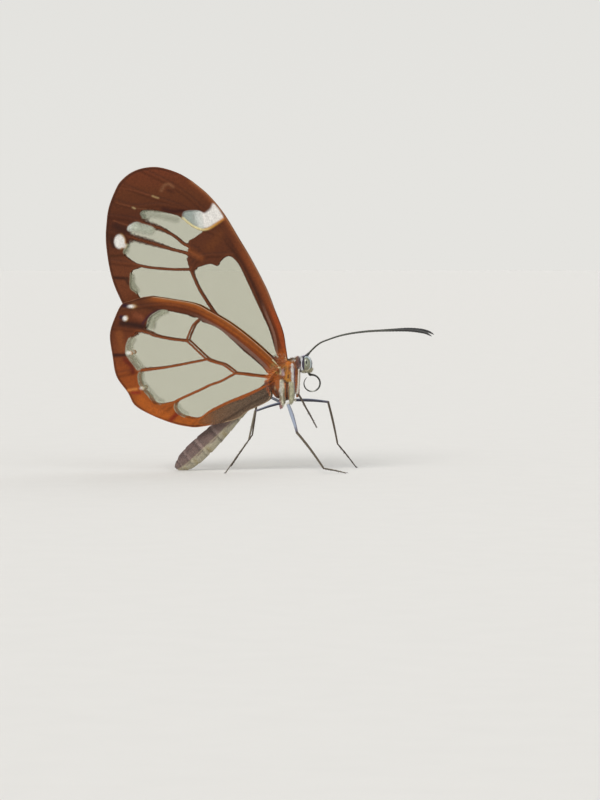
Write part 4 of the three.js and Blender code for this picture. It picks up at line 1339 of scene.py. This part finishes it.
def leg_span(k, fore, start, end, radii):
    """A leg's thigh, shin or foot (k 0, 1 or 2) as a tube with a slight bow, with its colours and painted
    light: lighter on the side facing up and back.
    """
    share = np.linspace(0, 1, 40)
    path = start + (end - start) * share[:, None]
    bow = np.sin(share * np.pi) * (0.06 if k < 2 else 0.03) * np.linalg.norm(end - start) / 3
    path = path + bow[:, None] * np.array((0.3, 0, 1.0))
    radii = np.interp(share, [0, 0.4, 1], radii)
    if k == 2 and not fore:
        radii = radii * (0.8 + 0.3 * ((share * 5) % 1))
    radii[-1] *= 0.6
    points, faces = tube(path, radii, ROUND)
    if k == 2:
        points[:, 2] = np.maximum(points[:, 2], 0.0)
    outward = unit(points - np.vstack([np.repeat(path, ROUND, axis=0), path[0], path[-1]]))
    # Painted light: the side facing up and back is lighter, the other side painted shade
    lit = smooth(-0.2, 0.5, outward @ (-0.6, 0.1, 0.75))
    if k == 0 and fore:
        return (points, faces), lay(plain("#b9b2a2", points), ("#efece4", lit))
    if k == 0:
        knee = ring_values(smooth(0.75, 1.0, share), ROUND)
        return (points, faces), lay(plain("#2a2636", points), ("#9aa3b6", lit), ("#5b5560", knee))
    return (points, faces), lay(plain("#4a3c2c" if k == 1 else "#3a2a1c", points), ("#7d7560", lit * 0.7))


def build_leg(name, material, rng):
    """One leg: trochanter, femur, tibia, five foot joints, claws and spines, as one mesh."""
    fore = name.startswith("foreleg")
    joints, radii = LEGS[name]
    hip, knee, ankle, toe = (np.array(p) for p in joints)
    spans = [(hip, knee), (knee, ankle), (ankle, toe)]
    pieces = [leg_span(k, fore, *span, radii[k]) for k, span in enumerate(spans)]

    def add_tube(path, widths, sides, code):
        shape = tube(path, widths, sides)
        pieces.append((shape, plain(code, shape[0])))

    for middle, size, code in (
        (hip, radii[0][1], "#d9d4c8"),
        (knee, radii[1][0] * 1.15, "#4a3c30"),
        (ankle, radii[2][0] * 1.12, "#4a3c30"),
    ):
        run = middle + np.linspace(-1, 1, 7)[:, None] * size * np.array((0.2, 0, -1.0))
        add_tube(run, np.sin(np.linspace(0.05, 0.95, 7) * np.pi) * size, 10, code)
    for _ in range(10 if fore else 26):
        start, end = spans[rng.integers(1, 3)]
        share = rng.random() * 0.9 + 0.05
        run = unit(end - start)
        out = rng.normal(size=3)
        out = unit(out - run * (out @ run))
        at = start + (end - start) * share
        tip = at + run * SPINE_REACH + out * SPINE_REACH
        if tip[2] >= FLOOR_GAP:
            add_tube([at, (at + tip) / 2, tip], [0.025, 0.018, 0.004], 5, "#2a2018")
    heading = unit(toe - ankle)
    for sway in () if fore else (-1, 1):
        out = np.array((heading[0], heading[1] + 0.5 * sway, 0.1))
        hook = np.array([toe, toe + out * 0.14 + (0, 0, 0.06), toe + out * 0.26 + (0, 0, -0.06)])
        hook = np.maximum(hook, (-99, -99, FLOOR_GAP))
        add_tube(spline(hook, 3), [0.035, 0.034, 0.03, 0.025, 0.02, 0.014, 0.006], 6, "#1d1510")
    points, faces = gather([shape for shape, _ in pieces])
    colours = np.vstack([tones for _, tones in pieces])
    made = mesh_object(f"{name}_scaled", to_frame(points), faces, material, colours)
    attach(made, "root")
    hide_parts(*leg_nodes(name))


# Studio

# Direction, share of the key lamp's power, spread in degrees and tint of each lamp
LAMPS = {
    "key_lamp": ((-0.42, -0.6, 0.68), 1.0, 28, (1.0, 0.98, 0.94)),
    "fill_lamp": ((0.75, -0.55, 0.36), 0.25, 50, (0.95, 0.97, 1.0)),
    "back_lamp": ((0.3, 0.8, 0.52), 0.3, 50, (1.0, 1.0, 1.0)),
}
FLOOR_RADIUS, FLOOR_CORNERS = 3.0, 96
# The picture is 73.8 by 98.4 mm at the butterfly, and its middle lies at this place
PICTURE_HEIGHT, PICTURE_MIDDLE = 98.4 * MM, (1.23, 0, 8.73)
SENSOR_WIDTH = 36


def soft_sun(name, toward, power, spread, tint):
    """A far lamp as wide as a studio softbox, so the floor is lit evenly out to the horizon."""
    data = bpy.data.lights.new(name, "SUN")
    data.energy, data.angle, data.color = power, math.radians(spread), tint
    lamp = bpy.data.objects.new(name, data)
    bpy.context.collection.objects.link(lamp)
    lamp.rotation_euler = Vector(toward).to_track_quat("Z", "Y").to_euler()


def build_stage(studio):
    """A pale floor, an even pale sky, three soft suns and a camera at the photo's viewing angle."""
    scene = bpy.context.scene
    turn = np.linspace(0, 2 * np.pi, FLOOR_CORNERS, endpoint=False)
    rim = np.column_stack([FLOOR_RADIUS * np.cos(turn), FLOOR_RADIUS * np.sin(turn), np.zeros(FLOOR_CORNERS)])
    board = floor_material("painted_board", studio.floor_colour)
    floor = mesh_object("floor", rim, [tuple(range(FLOOR_CORNERS))], board)

    scene.world = bpy.data.worlds.new("studio")
    scene.world.use_nodes = True
    tree = scene.world.node_tree
    sky = tree.nodes["Background"]
    up = add(tree, "SeparateXYZ", {0: add(tree, "TexCoord")}).outputs["Z"]
    rise = add(tree, "MapRange", {"Value": up, "From Max": 0.5}, interpolation_type="SMOOTHSTEP")
    tone = add(tree, "Mix", {0: rise, 6: shade("#e5e4e0"), 7: shade("#c4c5c6")}, data_type="RGBA")
    tree.links.new(tone.outputs[2], sky.inputs["Color"])
    sky.inputs["Strength"].default_value = studio.sky
    for name, (toward, share, spread_angle, tint) in LAMPS.items():
        soft_sun(name, toward, studio.key_power * share, spread_angle, tint)

    azimuth, elevation = studio.azimuth, studio.elevation
    level = math.cos(elevation)
    back = Vector((math.sin(azimuth) * level, -math.cos(azimuth) * level, math.sin(elevation)))
    data = bpy.data.cameras.new("camera")
    camera = bpy.data.objects.new("camera", data)
    bpy.context.collection.objects.link(camera)
    data.sensor_width = SENSOR_WIDTH
    data.lens = SENSOR_WIDTH * studio.camera_distance / PICTURE_HEIGHT
    data.clip_start, data.clip_end = 0.01, 20
    camera.location = place(*PICTURE_MIDDLE) + back * studio.camera_distance
    camera.rotation_euler = (-back).to_track_quat("-Z", "Y").to_euler()
    scene.camera = camera
    # Plain sRGB keeps the orange and brown scales as strong as they are to the eye
    scene.view_settings.view_transform = "Standard"


# Add-on


class ButterflyStudio(bpy.types.PropertyGroup):
    """Light, floor and camera."""

    key_power: bpy.props.FloatProperty(name="Key power", description="Strength of the main lamp", default=1.5)
    sky: bpy.props.FloatProperty(name="Sky", description="Brightness of the even sky", default=1.0)
    floor_colour: bpy.props.FloatVectorProperty(
        name="Floor", description="Colour of the board", default=linear("#e6e4e0").tolist(), subtype="COLOR"
    )
    azimuth: bpy.props.FloatProperty(
        name="Azimuth", description="Camera turn towards the head", default=math.radians(4), subtype="ANGLE"
    )
    elevation: bpy.props.FloatProperty(
        name="Elevation", description="Camera height as an angle", default=math.radians(2.5), subtype="ANGLE"
    )
    camera_distance: bpy.props.FloatProperty(
        name="Distance", description="Camera distance from the body", default=0.45, unit="LENGTH"
    )


class ButterflyWings(bpy.types.PropertyGroup):
    """How fine the wings' scales are."""

    scale_size: bpy.props.FloatProperty(
        name="Scale size", description="Size of a wing scale", default=0.14 * MM, unit="LENGTH", precision=5
    )


class ButterflyCoat(bpy.types.PropertyGroup):
    """How dense the coat is, and its main colours."""

    thorax_tufts: bpy.props.IntProperty(name="Thorax tufts", description="Locks on the thorax", default=11500)
    wing_root_tufts: bpy.props.IntProperty(
        name="Wing root tufts", description="Locks at the root of each wing", default=240
    )
    head_tufts: bpy.props.IntProperty(name="Head tufts", description="Locks on the head", default=4200)
    abdomen_scales: bpy.props.IntProperty(
        name="Abdomen scales", description="Scales on the abdomen", default=11000
    )
    hair_length: bpy.props.FloatProperty(
        name="Hair", description="Shortest lock on the thorax", default=0.22 * MM, unit="LENGTH", precision=5
    )
    thorax_colour: bpy.props.FloatVectorProperty(
        name="Thorax", description="Coat of the thorax", default=linear("#b56320").tolist(), subtype="COLOR"
    )
    head_colour: bpy.props.FloatVectorProperty(
        name="Head", description="Coat of the head", default=linear("#2b2226").tolist(), subtype="COLOR"
    )
    abdomen_colour: bpy.props.FloatVectorProperty(
        name="Abdomen", description="Back of the abdomen", default=linear("#6e5650").tolist(), subtype="COLOR"
    )


class BUTTERFLY_OT_stage(bpy.types.Operator):
    """Set up the floor, the light and the camera"""

    bl_idname = "butterfly.stage"
    bl_label = "Studio"

    def execute(self, context):
        build_stage(context.scene.butterfly_studio)
        return {"FINISHED"}


class BUTTERFLY_OT_wings(bpy.types.Operator):
    """Build the four clear wings with their veins and scaled borders"""

    bl_idname = "butterfly.wings"
    bl_label = "Wings"

    def execute(self, context):
        membrane = wing_material("scaled_wing_membrane", context.scene.butterfly_wings.scale_size)
        for kind in WINGS:
            build_wing(kind, membrane)
        return {"FINISHED"}


class BUTTERFLY_OT_body(bpy.types.Operator):
    """Build the skin of head, thorax and abdomen"""

    bl_idname = "butterfly.body"
    bl_label = "Body"

    def execute(self, context):
        build_skin(fur_material("short_hair_skin", 0.75, 0.12), context.scene.butterfly_coat)
        return {"FINISHED"}


class BUTTERFLY_OT_coat(bpy.types.Operator):
    """Grow the hair tufts and scales on the skin"""

    bl_idname = "butterfly.coat"
    bl_label = "Coat"

    def execute(self, context):
        skin = bpy.data.objects.get("body_skin")
        if skin is None:
            raise RuntimeError("build the body before its coat")
        build_coat(skin, fur_material("hair_scales", 0.6, 0.3), context.scene.butterfly_coat)
        return {"FINISHED"}


class BUTTERFLY_OT_eyes(bpy.types.Operator):
    """Build the two compound eyes"""

    bl_idname = "butterfly.eyes"
    bl_label = "Eyes"

    def execute(self, context):
        build_eyes(eye_material("facetted_cornea"))
        return {"FINISHED"}


class BUTTERFLY_OT_feelers(bpy.types.Operator):
    """Build the feelers and the coiled tongue"""

    bl_idname = "butterfly.feelers"
    bl_label = "Feelers and tongue"

    def execute(self, context):
        horn = horn_material("dark_chitin", 0.42)
        build_feelers(horn)
        build_tongue(horn)
        return {"FINISHED"}


class BUTTERFLY_OT_legs(bpy.types.Operator):
    """Build the six legs"""

    bl_idname = "butterfly.legs"
    bl_label = "Legs"

    def execute(self, context):
        scaled = horn_material("scaled_leg_chitin", 0.5)
        rng = np.random.default_rng(SEED + 7)
        for name in LEGS:
            build_leg(name, scaled, rng)
        return {"FINISHED"}


class BUTTERFLY_PT_panel(bpy.types.Panel):
    """Lists the butterfly's parts and settings"""

    bl_label = "Butterfly"
    bl_space_type = "VIEW_3D"
    bl_region_type = "UI"
    bl_category = "Butterfly"

    def draw(self, context):
        for operator in OPERATORS:
            self.layout.operator(operator.bl_idname)
        for group in GROUPS:
            settings = getattr(context.scene, group)
            for name in settings.bl_rna.properties.keys():
                if name not in ("rna_type", "name"):
                    self.layout.prop(settings, name)


GROUPS = {
    "butterfly_studio": ButterflyStudio,
    "butterfly_wings": ButterflyWings,
    "butterfly_coat": ButterflyCoat,
}
OPERATORS = (
    BUTTERFLY_OT_stage,
    BUTTERFLY_OT_wings,
    BUTTERFLY_OT_body,
    BUTTERFLY_OT_coat,
    BUTTERFLY_OT_eyes,
    BUTTERFLY_OT_feelers,
    BUTTERFLY_OT_legs,
)
CLASSES = (*GROUPS.values(), *OPERATORS, BUTTERFLY_PT_panel)


def register():
    """Registers the classes and hangs the settings on the scene."""
    for one in CLASSES:
        bpy.utils.register_class(one)
    for name, group in GROUPS.items():
        setattr(bpy.types.Scene, name, bpy.props.PointerProperty(type=group))


def unregister():
    """Takes the settings and classes away again."""
    for name in GROUPS:
        delattr(bpy.types.Scene, name)
    for one in reversed(CLASSES):
        bpy.utils.unregister_class(one)


def main():
    """Builds everything in order."""
    register()
    for operator in OPERATORS:
        group, name = operator.bl_idname.split(".")
        getattr(getattr(bpy.ops, group), name)()


if __name__ == "__main__":
    main()
